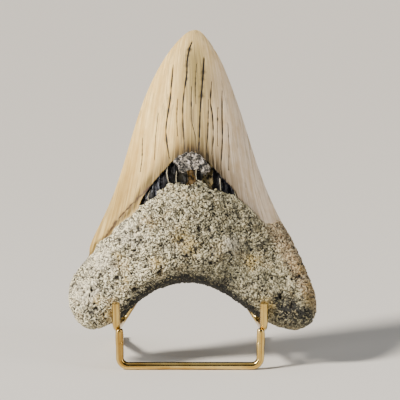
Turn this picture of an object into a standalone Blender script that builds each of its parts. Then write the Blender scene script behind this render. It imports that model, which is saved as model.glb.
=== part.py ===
"""A large fossil shark tooth, standing root down in a stand of bent brass wire.

The tooth is one solid, worked out in millimetres in its own frame: u runs across it to
the right, v up along it, and w out of its display face. The crown's two cutting edges
lie in w = 0, but for the upper part, which bends back a little towards the tip. The tooth
leans back in the stand, with its display face towards -Y.
"""

import math

import bmesh
import bpy
import numpy as np
from mathutils import Vector, noise
from mathutils.geometry import delaunay_2d_cdt

MM = 0.001

# Stand, in millimetres. X = 0 is the middle of the stand and Y = 0 the middle of its front bar.
# Heights and places are those of the wire's centre line.
WIRE_RADIUS = 1.6
WIRE_SIDES = 12
POST_X = 28.8
BAR_CORNER_BEND = 3.5
POST_CORNER_Z = 14.3
POST_BEND = 3.0
REAR_HEEL = (31.0, 58.0)
REAR_TOE = (31.4, 67.0)
FOOT_Z = 1.66
HOOK_X = 30.2
HOOK_BOTTOM_Z = 17.1
HOOK_FRONT_BEND = 4.5
HOOK_BACK_BEND = 5.5
PRONG_TOP_Z = 28.1
PRONG_TOP_Y = -1.9
PRONG_FOOT_Y = -0.4
REST_FOOT_U = 28.9
REST_W = -7.65
REST_TOP_V = 50.0
REST_BEND = 9.0
ARC_STEPS = 6

# Where the tooth stands: its own (0, 0, 0), and how far it leans back.
TOOTH_FOOT = (0.0, 7.0, 15.3)
LEAN = math.radians(18.0)

# Outline of the tooth seen square on, clockwise from the tip, in (u, v).
RIGHT_EDGE = [(1.9, 128.9), (6.8, 125.4), (13.4, 114.1), (20.5, 94.6), (29.1, 66.6), (36.1, 49.3)]
RIGHT_LOBE = [
    (43.4, 35.6), (49.0, 22.2), (52.0, 12.0), (51.5, 5.5),
    (48.2, 1.3), (42.5, -0.3), (36.5, 1.0), (30.0, 3.8),
]
ARCH = [
    (22.6, 8.8), (15.6, 14.0), (7.0, 18.0), (-1.3, 19.3),
    (-9.5, 17.9), (-17.5, 14.3), (-23.5, 9.3),
]
LEFT_LOBE = [
    (-29.0, 4.1), (-35.0, 1.3), (-40.8, -0.2), (-45.8, 2.7), (-49.3, 8.3),
    (-50.3, 14.5), (-48.9, 20.9), (-45.4, 26.6), (-42.2, 30.8),
]
LEFT_EDGE = [(-41.2, 36.5), (-33.9, 52.7), (-29.0, 66.6), (-20.8, 94.6), (-12.8, 113.1), (-4.2, 125.2)]

# Where the enamel ends, on the display face and on the back, from left to right.
FACE_MARGIN = [
    (-42.8, 30.8), (-38.6, 34.6), (-33.5, 38.3), (-25.5, 43.3), (-20.6, 50.8),
    (-12.4, 62.6), (-6.9, 68.7), (-0.1, 72.1), (6.9, 68.5), (11.9, 63.0),
    (20.3, 52.5), (24.6, 48.8), (30.2, 43.4), (34.4, 43.0), (37.6, 45.2),
]
BACK_MARGIN = [
    (-42.8, 30.8), (-30.0, 36.0), (-15.0, 43.5), (0.0, 47.5), (15.0, 48.5), (28.0, 46.7), (37.6, 45.2),
]

# The sunken dark band between enamel and root, its lower edge from right to left,
# and the crust of hardened sediment over the top of it.
BAND_LEFT_END = (-20.4, 49.9)
BAND_RIGHT_END = (18.9, 53.3)
BAND_LOWER_EDGE = [
    (15.6, 54.0), (11.3, 55.4), (8.6, 56.8), (5.3, 57.9), (1.4, 58.9), (-1.9, 57.4),
    (-5.2, 58.3), (-8.5, 58.2), (-12.0, 55.8), (-14.0, 52.9), (-17.0, 50.4),
]
BAND_DEPTH = 2.4
BAND_RIBS = [-12.9, -9.4, -5.6, -1.7, 2.6, 6.4, 10.2]
RIB_HEIGHT = 0.9
RIB_HALF_WIDTH = 1.0
CRUST_EDGE = [
    (-7.4, 68.0), (-5.0, 70.6), (-1.6, 72.9), (2.6, 72.6), (6.3, 69.6), (8.8, 66.2),
    (7.0, 62.8), (4.2, 64.3), (0.6, 64.6), (-3.0, 63.4), (-5.4, 65.0),
]
CRUST_HEIGHT = 1.0
CRUST_LUMP_HEIGHT = 0.5
CRUST_LUMP_SIZE = 3.0

# Thicknesses of the tooth, all measured from w = 0.
CROWN_FACE_RATIO = 0.43
CROWN_FACE_POWER = 2.3
CROWN_BACK_RATIO = 0.11
CROWN_BACK_POWER = 3.0
TIP_SWEEP = 2.2
SWEEP_START_V = 48.0
BULGE_HEIGHT = 19.5
BULGE_HALF_WIDTH = 21.0
BULGE_POWER = 2.4
LOBE_HEIGHT = 9.5
SHOULDER_HEIGHT = 4.5
ROOT_BACK = -5.4
ROOT_STEP = 0.9
BACK_STEP_IN = 0.4
ROOT_BLEND = 16.0
BACK_BLEND = 12.0
ROUNDING_LOBE = 7.5
ROUNDING_SHOULDER = 4.0
ROUNDING_BULGE = 3.0
ROOT_MID_PLANE = 2.0

# Where those thicknesses grow down the root: the height at which each starts, and over how much.
LOBE_GROWTH = (42.0, 30.0)
ROUNDING_GROWTH = (40.0, 22.0)
MID_PLANE_GROWTH = (34.0, 16.0)

# Relief of the root: broad lumps, smaller knobs and pits.
LUMP_HEIGHT = 1.1
LUMP_SIZE = 11.0
KNOB_HEIGHT = 0.75
KNOB_SIZE = 4.5
BACK_RELIEF = 0.6
PIT_COUNT = 90
PIT_RADIUS = (1.9, 3.0)
PIT_DEPTH = (0.7, 1.3)
PIT_SPACING = 4.4
PIT_SEED = 5
RELIEF_FADE = 5.0

# Spacing of the points on the guide lines, and of the mesh points.
GUIDE_STEP = 0.8
SIDE_STEP = 0.5
EDGE_STEP = 2.0
FACE_STEP = 2.15
CROWN_STEP = 3.3
BACK_STEP = 3.8
RIM_STEP = 1.7
RIM_WIDTH = 0.5
RIB_POINT_STEP = 2.6
RING_SPACING = 0.8
RING_DISTANCES = (0.15, 0.7, 1.8, 3.4, 5.4)
CROWN_GRID_START = 74.0
CROWN_GRID_END = 128.0
GRID_REACH = 54.0
RIB_SPAN = (52.0, 67.0)


def smooth_step(value):
    """0 below 0, 1 above 1, and a smooth rise between."""
    t = np.clip(value, 0.0, 1.0)
    return t * t * (3.0 - 2.0 * t)


def smooth_curve(points, step, closed):
    """Points every step along a smooth curve through the given points."""
    pts = [np.array(p, float) for p in points]
    count = len(pts)
    dense = []
    for i in range(count if closed else count - 1):
        p1 = pts[i]
        p2 = pts[(i + 1) % count]
        p0 = pts[i - 1] if closed or i > 0 else 2 * p1 - p2
        p3 = pts[(i + 2) % count] if closed or i + 2 < count else 2 * p2 - p1
        for t in np.linspace(0.0, 1.0, 24, endpoint=False):
            dense.append(0.5 * (
                2 * p1 + (p2 - p0) * t + (2 * p0 - 5 * p1 + 4 * p2 - p3) * t ** 2
                + (3 * p1 - p0 - 3 * p2 + p3) * t ** 3
            ))
    dense.append(pts[0] if closed else pts[-1])
    dense = np.array(dense)
    length = np.concatenate([[0.0], np.cumsum(np.linalg.norm(np.diff(dense, axis=0), axis=1))])
    pieces = max(2, int(round(length[-1] / step)))
    places = np.linspace(0.0, length[-1], pieces + 1)
    if closed:
        places = places[:-1]
    return np.stack([np.interp(places, length, dense[:, k]) for k in range(2)], axis=1)


def distance_to_line(points, line, closed):
    """Distance from each point to the nearest stretch of a line of points."""
    ends = np.roll(line, -1, axis=0) if closed else line[1:]
    starts = line if closed else line[:-1]
    nearest = np.full(len(points), np.inf)
    for a, b in zip(starts, ends):
        along = b - a
        t = np.clip((points - a) @ along / (along @ along), 0.0, 1.0)
        nearest = np.minimum(nearest, np.linalg.norm(points - (a + t[:, None] * along), axis=1))
    return nearest


def inside(points, loop):
    """True for each point inside a closed loop."""
    result = np.zeros(len(points), bool)
    for a, b in zip(loop, np.roll(loop, -1, axis=0)):
        crosses = (a[1] > points[:, 1]) != (b[1] > points[:, 1])
        rise = b[1] - a[1] if b[1] != a[1] else 1e-9
        result ^= crosses & (points[:, 0] < (b[0] - a[0]) * (points[:, 1] - a[1]) / rise + a[0])
    return result


def growth(v, start_and_span):
    """0 above the start, 1 a whole span below it."""
    start, span = start_and_span
    return smooth_step((start - v) / span)


def lump_noise(points, size, seed):
    """Smooth noise from about -1 to 1 at each point."""
    return np.array([
        noise.noise(Vector((p[0] / size, p[1] / size, seed))) * 1.6 for p in points
    ])


class ToothForm:
    """The tooth's two faces as heights over its outline."""

    def __init__(self):
        corners = RIGHT_EDGE + RIGHT_LOBE + ARCH + LEFT_LOBE + LEFT_EDGE
        self.outline = smooth_curve(corners, GUIDE_STEP, True)
        self.face_margin = smooth_curve(FACE_MARGIN, GUIDE_STEP, False)
        self.back_margin = smooth_curve(BACK_MARGIN, GUIDE_STEP, False)
        self.right_edge = smooth_curve(RIGHT_EDGE + RIGHT_LOBE[:1], SIDE_STEP, False)[::-1]
        self.left_edge = smooth_curve(LEFT_EDGE + RIGHT_EDGE[:1], SIDE_STEP, False)
        self.crust = smooth_curve(CRUST_EDGE, RIM_STEP, True)
        self.band = self.band_loop()
        self.pits = self.scatter_pits()

    def band_loop(self):
        """The dark band's outline: along the enamel, then back along the root's ragged top."""
        margin = smooth_curve(FACE_MARGIN, RIM_STEP, False)
        along = (margin[:, 0] > BAND_LEFT_END[0] + 1.0) & (margin[:, 0] < BAND_RIGHT_END[0] - 1.0)
        low = smooth_curve(BAND_LOWER_EDGE, RIM_STEP, False)
        return np.vstack([[BAND_LEFT_END], margin[along], [BAND_RIGHT_END], low])

    def scatter_pits(self):
        """Places, sizes and depths of the root's larger pits."""
        rng = np.random.default_rng(PIT_SEED)
        places = rng.uniform((-50.0, 0.0), (52.0, 66.0), (PIT_COUNT * 4, 2))
        kept = []
        for place in places:
            clear = all(np.hypot(*(place - other)) > PIT_SPACING for other in kept)
            if clear and len(kept) < PIT_COUNT:
                kept.append(place)
        radius = rng.uniform(*PIT_RADIUS, len(kept))
        depth = rng.uniform(*PIT_DEPTH, len(kept))
        return list(zip(kept, radius, depth))

    def crown_section(self, points):
        """Place across the crown from -1 to 1, and half the crown's width, at each point."""
        u, v = points[:, 0], points[:, 1]
        sides = []
        for edge in (self.left_edge, self.right_edge):
            slope = (edge[20, 0] - edge[0, 0]) / (edge[20, 1] - edge[0, 1])
            below = edge[0, 0] + slope * (v - edge[0, 1])
            sides.append(np.where(v < edge[0, 1], below, np.interp(v, edge[:, 1], edge[:, 0])))
        half = np.maximum(0.5 * (sides[1] - sides[0]), 1e-3)
        return np.clip((u - 0.5 * (sides[0] + sides[1])) / half, -1.0, 1.0), half

    def root_depth(self, points, margin):
        """How far each point lies below the enamel's edge, negative on the enamel."""
        edge_v = np.interp(points[:, 0], margin[:, 0], margin[:, 1])
        away = distance_to_line(points, margin, False)
        return np.where(points[:, 1] < edge_v, away, -away)

    def bulge(self, u):
        """Share of the root's middle bulge, from 1 in the middle of the tooth to 0 at its lobes."""
        return np.exp(-np.abs(u / BULGE_HALF_WIDTH) ** BULGE_POWER)

    def sweep(self, v):
        """How far the crown has bent back by height v, most at its tip."""
        along = (v - SWEEP_START_V) / (RIGHT_EDGE[0][1] - SWEEP_START_V)
        return TIP_SWEEP * np.clip(along, 0.0, 1.0) ** 2

    def rounding(self, points):
        """Shape of the root's rounded rim: 0 at the outline and 1 well inside it."""
        u, v = points[:, 0], points[:, 1]
        radius = ROUNDING_SHOULDER + (ROUNDING_LOBE - ROUNDING_SHOULDER) * growth(v, ROUNDING_GROWTH)
        radius = radius + ROUNDING_BULGE * self.bulge(u)
        rim = np.clip(distance_to_line(points, self.outline, True) / radius, 0.0, 1.0)
        return np.sqrt(np.maximum(1.0 - (1.0 - rim) ** 2, 0.0))

    def mid_plane(self, points):
        """Height at which the two faces meet around the root."""
        return ROOT_MID_PLANE * growth(points[:, 1], MID_PLANE_GROWTH)

    def relief(self, points, side):
        """Lumps, knobs and pits of the root on one side, 1 for the face and -1 for the back."""
        height = LUMP_HEIGHT * lump_noise(points, LUMP_SIZE, 3.0 * side)
        height += KNOB_HEIGHT * lump_noise(points, KNOB_SIZE, 7.0 + 3.0 * side)
        for place, radius, depth in self.pits:
            centre = place if side > 0 else place * np.array((-1.0, 1.0))
            away = np.linalg.norm(points - centre, axis=1) / radius
            height -= depth * np.maximum(1.0 - away ** 2, 0.0)
        return height

    def face(self, points):
        """Height of the display face."""
        u, v = points[:, 0], points[:, 1]
        across, half = self.crown_section(points)
        crown = CROWN_FACE_RATIO * half * (1.0 - np.abs(across) ** CROWN_FACE_POWER)
        depth = self.root_depth(points, self.face_margin)
        root = SHOULDER_HEIGHT + (LOBE_HEIGHT - SHOULDER_HEIGHT) * growth(v, LOBE_GROWTH)
        root = root + (BULGE_HEIGHT - root) * self.bulge(u)
        rise = smooth_step(depth / ROOT_BLEND)
        rim = self.rounding(points)
        full = (crown + ROOT_STEP) * (1.0 - rise) + root * rise
        full = full + self.relief(points, 1) * smooth_step(depth / RELIEF_FADE) * rim ** 2
        mid = self.mid_plane(points)
        height = np.where(depth > 0.0, mid + (full - mid) * rim, crown)
        in_band = inside(points, self.band)
        band_rim = distance_to_line(points, self.band, True)
        sunk = np.where(in_band, smooth_step(band_rim / RIM_WIDTH), 0.0)
        rib = sum(np.exp(-((u - at) / RIB_HALF_WIDTH) ** 2) for at in BAND_RIBS)
        height = height - sunk * (BAND_DEPTH - RIB_HEIGHT * rib)
        on_crust = inside(points, self.crust)
        crust_rim = distance_to_line(points, self.crust, True)
        raised = np.where(on_crust, smooth_step(crust_rim / RIM_WIDTH), 0.0)
        crust = crown + CRUST_HEIGHT + CRUST_LUMP_HEIGHT * lump_noise(points, CRUST_LUMP_SIZE, 11.0)
        return height * (1.0 - raised) + crust * raised - self.sweep(v)

    def back(self, points):
        """Height of the back face."""
        v = points[:, 1]
        across, half = self.crown_section(points)
        crown = -CROWN_BACK_RATIO * half * (1.0 - np.abs(across) ** CROWN_BACK_POWER)
        depth = self.root_depth(points, self.back_margin)
        rise = smooth_step(depth / BACK_BLEND)
        rim = self.rounding(points)
        full = (crown + BACK_STEP_IN) * (1.0 - rise) + ROOT_BACK * rise
        full = full - BACK_RELIEF * self.relief(points, -1) * smooth_step(depth / RELIEF_FADE) * rim ** 2
        mid = self.mid_plane(points)
        return np.where(depth > 0.0, mid + (full - mid) * rim, crown) - self.sweep(v)


def spread(layers):
    """Points of all layers in turn, each kept only where it is far enough from those before it."""
    cell = 2.0
    cells = {}
    kept = []
    for points, spacing in layers:
        reach = range(-math.ceil(spacing / cell), math.ceil(spacing / cell) + 1)
        for p in points:
            column, row = int(p[0] // cell), int(p[1] // cell)
            near = [q for i in reach for j in reach for q in cells.get((column + i, row + j), ())]
            if all(math.hypot(p[0] - q[0], p[1] - q[1]) >= spacing for q in near):
                cells.setdefault((column, row), []).append(p)
                kept.append(p)
    return np.array(kept)


def moved_inwards(loop, distance):
    """A clockwise loop of points, each moved inwards by the distance."""
    along = np.roll(loop, -1, axis=0) - np.roll(loop, 1, axis=0)
    inward = np.stack([along[:, 1], -along[:, 0]], axis=1)
    return loop + inward * (distance / np.linalg.norm(inward, axis=1)[:, None])


def inner_ring(form, rim, distance):
    """The rim moved inwards, without the points that come too near another stretch of it."""
    ring = moved_inwards(rim, distance)
    ring = ring[inside(ring, form.outline)]
    return ring[distance_to_line(ring, form.outline, True) > 0.93 * distance]


def grid_points(form, step, lowest, highest):
    """A staggered grid inside the outline, between two heights."""
    rows = np.arange(lowest, highest, step * math.sqrt(0.75))
    grid = np.array([
        (u + 0.5 * step * (row % 2), v)
        for row, v in enumerate(rows)
        for u in np.arange(-GRID_REACH, GRID_REACH, step)
    ])
    grid = grid[inside(grid, form.outline)]
    return grid[distance_to_line(grid, form.outline, True) > 0.5 * step]


def rib_points(form):
    """Points along the crests and hollows of the ribs in the dark band."""
    crests = np.array(BAND_RIBS)
    across = np.concatenate([crests, 0.5 * (crests[1:] + crests[:-1])])
    points = np.array([(u, v) for u in across for v in np.arange(*RIB_SPAN, RIB_POINT_STEP)])
    points = points[inside(points, form.band)]
    return points[distance_to_line(points, form.band, True) > 2.0 * RIM_WIDTH]


def face_points(form, rim):
    """Where the display face has its mesh points, the finest features first."""
    layers = [(rim, 0.0)]
    for loop in (form.band, form.crust):
        layers.append((np.vstack([loop, moved_inwards(loop, RIM_WIDTH)]), 0.8 * RIM_WIDTH))
    layers.append((rib_points(form), RIM_WIDTH))
    for distance in RING_DISTANCES:
        layers.append((inner_ring(form, rim, distance), RING_SPACING * distance ** 0.5))
    pit_middles = np.array([place for place, _, _ in form.pits])
    layers.append((pit_middles[inside(pit_middles, form.outline)], 0.5 * FACE_STEP))
    layers.append((grid_points(form, FACE_STEP, 0.0, CROWN_GRID_START), 0.75 * FACE_STEP))
    layers.append((grid_points(form, CROWN_STEP, CROWN_GRID_START, CROWN_GRID_END), 0.7 * CROWN_STEP))
    return spread(layers)


def back_points(form, rim):
    """Where the back face has its mesh points."""
    layers = [(rim, 0.0)]
    for distance in RING_DISTANCES:
        layers.append((inner_ring(form, rim, distance), RING_SPACING * distance ** 0.5))
    layers.append((form.back_margin[2:-2:3], 0.5 * BACK_STEP))
    layers.append((grid_points(form, BACK_STEP, 0.0, CROWN_GRID_END), 0.75 * BACK_STEP))
    return spread(layers)


def tooth_to_world(u, v, w):
    """World position in metres of a point of the tooth."""
    sin, cos = math.sin(LEAN), math.cos(LEAN)
    x = TOOTH_FOOT[0] + u
    y = TOOTH_FOOT[1] + v * sin - w * cos
    z = TOOTH_FOOT[2] + v * cos + w * sin
    return Vector((x, y, z)) * MM


def add_object(name, build, material, sharp_angle):
    """Turns a bmesh into a named, smooth-shaded object with its material."""
    bmesh.ops.recalc_face_normals(build, faces=build.faces)
    mesh = bpy.data.meshes.new(name)
    build.to_mesh(mesh)
    build.free()
    mesh.shade_smooth()
    mesh.set_sharp_from_angle(angle=math.radians(sharp_angle))
    mesh.materials.append(material)
    obj = bpy.data.objects.new(name, mesh)
    bpy.context.collection.objects.link(obj)
    return obj


def make_tooth(material):
    """The tooth: its display face and its back, joined all round on their shared rim."""
    form = ToothForm()
    rim = smooth_curve(RIGHT_EDGE + RIGHT_LOBE + ARCH + LEFT_LOBE + LEFT_EDGE, EDGE_STEP, True)
    rim_height = 0.5 * (form.face(rim) + form.back(rim))
    build = bmesh.new()
    rim_verts = [build.verts.new(tooth_to_world(u, v, w)) for (u, v), w in zip(rim, rim_height)]
    for points, height in ((face_points(form, rim), form.face), (back_points(form, rim), form.back)):
        made = delaunay_2d_cdt([Vector(p) for p in points], [], [list(range(len(rim)))], 1, 1e-5)
        flat = np.array([tuple(p) for p in made[0]])
        verts = list(rim_verts)
        for (u, v), w in list(zip(flat, height(flat)))[len(rim):]:
            verts.append(build.verts.new(tooth_to_world(u, v, w)))
        for triangle in made[2]:
            build.faces.new([verts[i] for i in triangle])
    return add_object("tooth", build, material, 38.0)


def rounded_path(corners, radii):
    """A path through corner points with each inner corner turned into an arc of its radius."""
    path = [Vector(corners[0])]
    for before, corner, after, radius in zip(corners, corners[1:], corners[2:], radii):
        here = Vector(corner)
        back = (Vector(before) - here).normalized()
        ahead = (Vector(after) - here).normalized()
        turn = math.pi - back.angle(ahead)
        centre = here + (back + ahead).normalized() * (radius / math.cos(0.5 * turn))
        spoke = here + back * (radius * math.tan(0.5 * turn)) - centre
        for step in range(ARC_STEPS + 1):
            angle = turn * step / ARC_STEPS
            path.append(centre + spoke * math.cos(angle) - back * (radius * math.sin(angle)))
    path.append(Vector(corners[-1]))
    return path


def make_wire(name, path, first_normal, material):
    """Half a wire swept along a path that starts at X = 0, mirrored to the other side.

    Each flat of the wire lies at its real radius, and one flat faces first_normal at X = 0.
    """
    corner_radius = WIRE_RADIUS / math.cos(math.pi / WIRE_SIDES)
    build = bmesh.new()
    normal = Vector(first_normal)
    tangent = (path[1] - path[0]).normalized()
    rings = []
    for i, place in enumerate(path):
        before = path[max(i - 1, 0)]
        after = path[min(i + 1, len(path) - 1)]
        new_tangent = (after - before).normalized() if i else Vector((1.0, 0.0, 0.0))
        normal = tangent.rotation_difference(new_tangent) @ normal if i else normal
        tangent = new_tangent
        side = tangent.cross(normal)
        ring = []
        for k in range(WIRE_SIDES):
            angle = 2.0 * math.pi * (k + 0.5) / WIRE_SIDES
            out = normal * math.cos(angle) + side * math.sin(angle)
            ring.append(build.verts.new((place + out * corner_radius) * MM))
        rings.append(ring)
    for ring, next_ring in zip(rings, rings[1:]):
        for k in range(WIRE_SIDES):
            after = (k + 1) % WIRE_SIDES
            build.faces.new((ring[k], ring[after], next_ring[after], next_ring[k]))
    build.faces.new(rings[-1])
    obj = add_object(name, build, material, 50.0)
    mirror = obj.modifiers.new("other side", "MIRROR")
    mirror.merge_threshold = 0.0001
    return obj


def make_base_wire(material):
    """Front bar, posts and rear legs: one wire bent six times, standing on bar and toes."""
    corners = [
        (0.0, 0.0, WIRE_RADIUS),
        (POST_X, 0.0, WIRE_RADIUS),
        (POST_X, 0.0, POST_CORNER_Z),
        (*REAR_HEEL, FOOT_Z),
        (*REAR_TOE, FOOT_Z),
    ]
    path = rounded_path(corners, (BAR_CORNER_BEND, POST_BEND, POST_BEND))
    return make_wire("base_wire", path, (0.0, 0.0, -1.0), material)


def make_cradle_wire(material):
    """Backrest and hooks: an upturned V behind the tooth that ends in two hooks under its root."""
    sin, cos = math.sin(LEAN), math.cos(LEAN)
    rest_foot_v = (HOOK_BOTTOM_Z - TOOTH_FOOT[2] - REST_W * sin) / cos
    corners = [
        tooth_to_world(0.0, REST_TOP_V, REST_W) / MM,
        tooth_to_world(REST_FOOT_U, rest_foot_v, REST_W) / MM,
        (HOOK_X, PRONG_FOOT_Y, HOOK_BOTTOM_Z),
        (HOOK_X, PRONG_TOP_Y, PRONG_TOP_Z),
    ]
    mirrored_foot = corners[1].copy()
    mirrored_foot.x = -mirrored_foot.x
    path = rounded_path([mirrored_foot, *corners], (REST_BEND, HOOK_BACK_BEND, HOOK_FRONT_BEND))
    top = 1 + ARC_STEPS // 2
    return make_wire("cradle_wire", path[top:], (0.0, -cos, sin), material)


def make_material(name, colour, roughness, metallic):
    """A plain Principled material."""
    material = bpy.data.materials.new(name)
    material.use_nodes = True
    shader = material.node_tree.nodes["Principled BSDF"]
    shader.inputs["Base Color"].default_value = (*colour, 1.0)
    shader.inputs["Roughness"].default_value = roughness
    shader.inputs["Metallic"].default_value = metallic
    return material


def main():
    for obj in list(bpy.data.objects):
        bpy.data.objects.remove(obj)
    fossil = make_material("fossil", (0.47, 0.41, 0.32), 0.6, 0.0)
    brass = make_material("brass", (0.87, 0.68, 0.33), 0.2, 1.0)
    make_tooth(fossil)
    make_base_wire(brass)
    make_cradle_wire(brass)


main()
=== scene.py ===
# %% [markdown]
# A megalodon tooth on its brass stand
#
# The thing to make is one fossil shark tooth, about 129 mm along its face, that stands root down
# in a cradle of bent brass wire. The tooth is one natural piece, but the eye reads four surfaces on
# it: the smooth enamel of the crown, the dark sunken band under it, a small patch of crust on the
# band, and the rough root. This lesson makes the tooth as one fine closed mesh with a material
# for each surface, then the wires, and then a plain table, its light and the camera.
#
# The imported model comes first. It fixes where everything is, so every piece below is made in its
# frame, in metres, with the table at Z = 0 and the tooth's display face towards -Y.

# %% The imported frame
import math
from functools import partial

import bpy
import numpy as np
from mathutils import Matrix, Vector, kdtree, noise
from mathutils.geometry import delaunay_2d_cdt


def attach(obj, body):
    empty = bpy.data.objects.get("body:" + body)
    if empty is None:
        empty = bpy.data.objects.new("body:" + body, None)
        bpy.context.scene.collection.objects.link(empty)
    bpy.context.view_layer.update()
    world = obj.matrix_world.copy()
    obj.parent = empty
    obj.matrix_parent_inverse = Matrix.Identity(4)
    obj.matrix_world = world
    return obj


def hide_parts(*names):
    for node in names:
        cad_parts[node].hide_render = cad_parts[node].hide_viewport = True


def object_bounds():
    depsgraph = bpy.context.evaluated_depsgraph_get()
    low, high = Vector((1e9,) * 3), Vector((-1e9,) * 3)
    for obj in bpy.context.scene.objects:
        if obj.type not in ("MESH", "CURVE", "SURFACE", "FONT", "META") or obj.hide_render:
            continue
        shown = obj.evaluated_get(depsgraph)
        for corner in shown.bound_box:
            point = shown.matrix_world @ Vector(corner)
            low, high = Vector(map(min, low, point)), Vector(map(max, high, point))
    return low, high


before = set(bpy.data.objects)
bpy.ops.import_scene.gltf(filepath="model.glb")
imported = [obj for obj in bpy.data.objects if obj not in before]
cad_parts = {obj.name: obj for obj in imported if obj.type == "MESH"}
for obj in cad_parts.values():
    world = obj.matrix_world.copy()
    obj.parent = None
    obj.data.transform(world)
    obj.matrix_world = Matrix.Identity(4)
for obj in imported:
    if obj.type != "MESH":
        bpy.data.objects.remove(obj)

MM = 0.001
model_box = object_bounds()
print("nodes of the packed model:", sorted(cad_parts))
print("box of the packed model in mm:", [[round(c / MM, 1) for c in corner] for corner in model_box])

# %% [markdown]
# The tooth's own frame
#
# A sculptor would turn the tooth in the hand, and so does this script: the tooth is worked out
# square on, in millimetres, with u across it to the right, v up along it and w out of its display
# face. The crown's two cutting edges lie in w = 0. One function then leans it back into the stand.
# That is simpler than modelling it at a slant, because every outline stays a flat drawing.

# %% From the tooth's frame to the table's
TOOTH_FOOT = np.array((0.0, 7.0, 15.3))
LEAN = math.radians(18.0)
ACROSS = np.array((1.0, 0.0, 0.0))
ALONG = np.array((0.0, math.sin(LEAN), math.cos(LEAN)))
OUTWARD = np.array((0.0, -math.cos(LEAN), math.sin(LEAN)))


def to_table(u, v, w):
    """Places in millimetres above the table for places u, v, w on the tooth."""
    u, v, w = (np.asarray(value, float)[..., None] for value in (u, v, w))
    return TOOTH_FOOT + u * ACROSS + v * ALONG + w * OUTWARD


print("the tooth's foot and its lean:", TOOTH_FOOT, round(math.degrees(LEAN), 1))

# %% [markdown]
# Outline and guide lines
#
# The tooth's silhouette is a smooth closed line through a few points, read from the
# photograph with the camera's own geometry. Catmull-Rom curves pass through all their points, so
# a point that is moved takes the line with it. Bezier handles would give the same lines with
# three times the numbers.

# %% Lines on the tooth, in (u, v)
RIGHT_EDGE = [(1.9, 128.9), (6.8, 125.4), (13.4, 114.1), (20.5, 94.6), (29.1, 66.6), (36.1, 49.3)]
RIGHT_LOBE = [
    (43.4, 35.6), (49.0, 22.2), (52.0, 12.0), (51.5, 5.5),
    (48.2, 1.3), (42.5, -0.3), (36.5, 1.0), (30.0, 3.8),
]
ARCH = [
    (22.6, 8.8), (15.6, 14.0), (7.0, 18.0), (-1.3, 19.3),
    (-9.5, 17.9), (-17.5, 14.3), (-23.5, 9.3),
]
LEFT_LOBE = [
    (-29.0, 4.1), (-35.0, 1.3), (-40.8, -0.2), (-45.8, 2.7), (-49.3, 8.3),
    (-50.3, 14.5), (-48.9, 20.9), (-45.4, 26.6), (-42.2, 30.8),
]
LEFT_EDGE = [(-41.2, 36.5), (-33.9, 52.7), (-29.0, 66.6), (-20.8, 94.6), (-12.8, 113.1), (-4.2, 125.2)]
WHOLE_EDGE = RIGHT_EDGE + RIGHT_LOBE + ARCH + LEFT_LOBE + LEFT_EDGE

# Where the enamel ends on the display face and on the back, from left to right.
FACE_MARGIN = [
    (-44.5, 28.6), (-41.8, 30.4), (-39.8, 32.3), (-38.6, 35.2), (-36.5, 36.8), (-33.4, 38.2),
    (-30.6, 42.0), (-26.1, 45.0), (-21.8, 48.6), (-19.6, 53.6), (-15.2, 59.8), (-9.7, 66.0),
    (-6.9, 68.7), (-0.1, 72.1), (7.0, 68.7), (11.9, 63.3), (17.3, 57.3), (19.9, 53.0),
    (24.3, 49.8), (29.2, 45.1), (31.2, 43.6), (34.6, 44.0), (36.4, 45.9), (40.5, 42.9),
]
BACK_MARGIN = [
    (-44.5, 29.4), (-30.0, 36.0), (-15.0, 43.5), (0.0, 47.5), (15.0, 48.5), (28.0, 46.7), (40.0, 44.0),
]
GUIDE_STEP, CURVE_PARTS = 0.5, 24


def smooth_step(value):
    """0 below 0, 1 above 1, and a smooth rise between."""
    t = np.clip(value, 0.0, 1.0)
    return t * t * (3.0 - 2.0 * t)


def rising(value, start, span):
    """0 at the start and 1 a span beyond it, which lies below the start where the span is negative."""
    return smooth_step((value - start) / span)


def fading(distance, reach, power=2):
    """1 at no distance, fading out over the reach."""
    return np.exp(-np.abs(distance / reach) ** power)


def smooth_curve(points, step, closed=False):
    """Points every step along a smooth curve through the given points."""
    pts = [np.array(p, float) for p in points]
    count = len(pts)
    dense = []
    for i in range(count if closed else count - 1):
        p1 = pts[i]
        p2 = pts[(i + 1) % count]
        p0 = pts[i - 1] if closed or i > 0 else 2 * p1 - p2
        p3 = pts[(i + 2) % count] if closed or i + 2 < count else 2 * p2 - p1
        for t in np.linspace(0.0, 1.0, CURVE_PARTS, endpoint=False):
            dense.append(0.5 * (
                2 * p1 + (p2 - p0) * t + (2 * p0 - 5 * p1 + 4 * p2 - p3) * t ** 2
                + (3 * p1 - p0 - 3 * p2 + p3) * t ** 3
            ))
    dense.append(pts[0] if closed else pts[-1])
    return evenly_spaced(np.array(dense), step, closed)


def evenly_spaced(line, step, closed=False):
    """The same line with a point every step along its length."""
    length = np.concatenate([[0.0], np.cumsum(np.linalg.norm(np.diff(line, axis=0), axis=1))])
    pieces = max(2, int(round(length[-1] / step)))
    places = np.linspace(0.0, length[-1], pieces + 1)
    if closed:
        places = places[:-1]
    return np.stack([np.interp(places, length, line[:, k]) for k in range(line.shape[1])], axis=1)


outline = smooth_curve(WHOLE_EDGE, GUIDE_STEP, True)
right_edge = smooth_curve(RIGHT_EDGE + RIGHT_LOBE[:1], GUIDE_STEP)[::-1]
left_edge = smooth_curve(LEFT_EDGE + RIGHT_EDGE[:1], GUIDE_STEP)
print("length of the outline in mm:", round(len(outline) * GUIDE_STEP))

# %% [markdown]
# Distances and noise
#
# Nearly everything on the tooth depends on how near a place is to a line: the rounding of the
# root's rim, the step at the enamel's edge, the width of a crack. So one small tool finds the
# distance to a line and another says what lies inside a closed line. The rest give smooth natural
# noise of a chosen size in millimetres, because nothing on a fossil runs straight.

# %% Tools for places and lines
TINY = 1e-9
NOISE_GAIN, SEED_SHIFT = 1.6, 17.3


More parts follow.
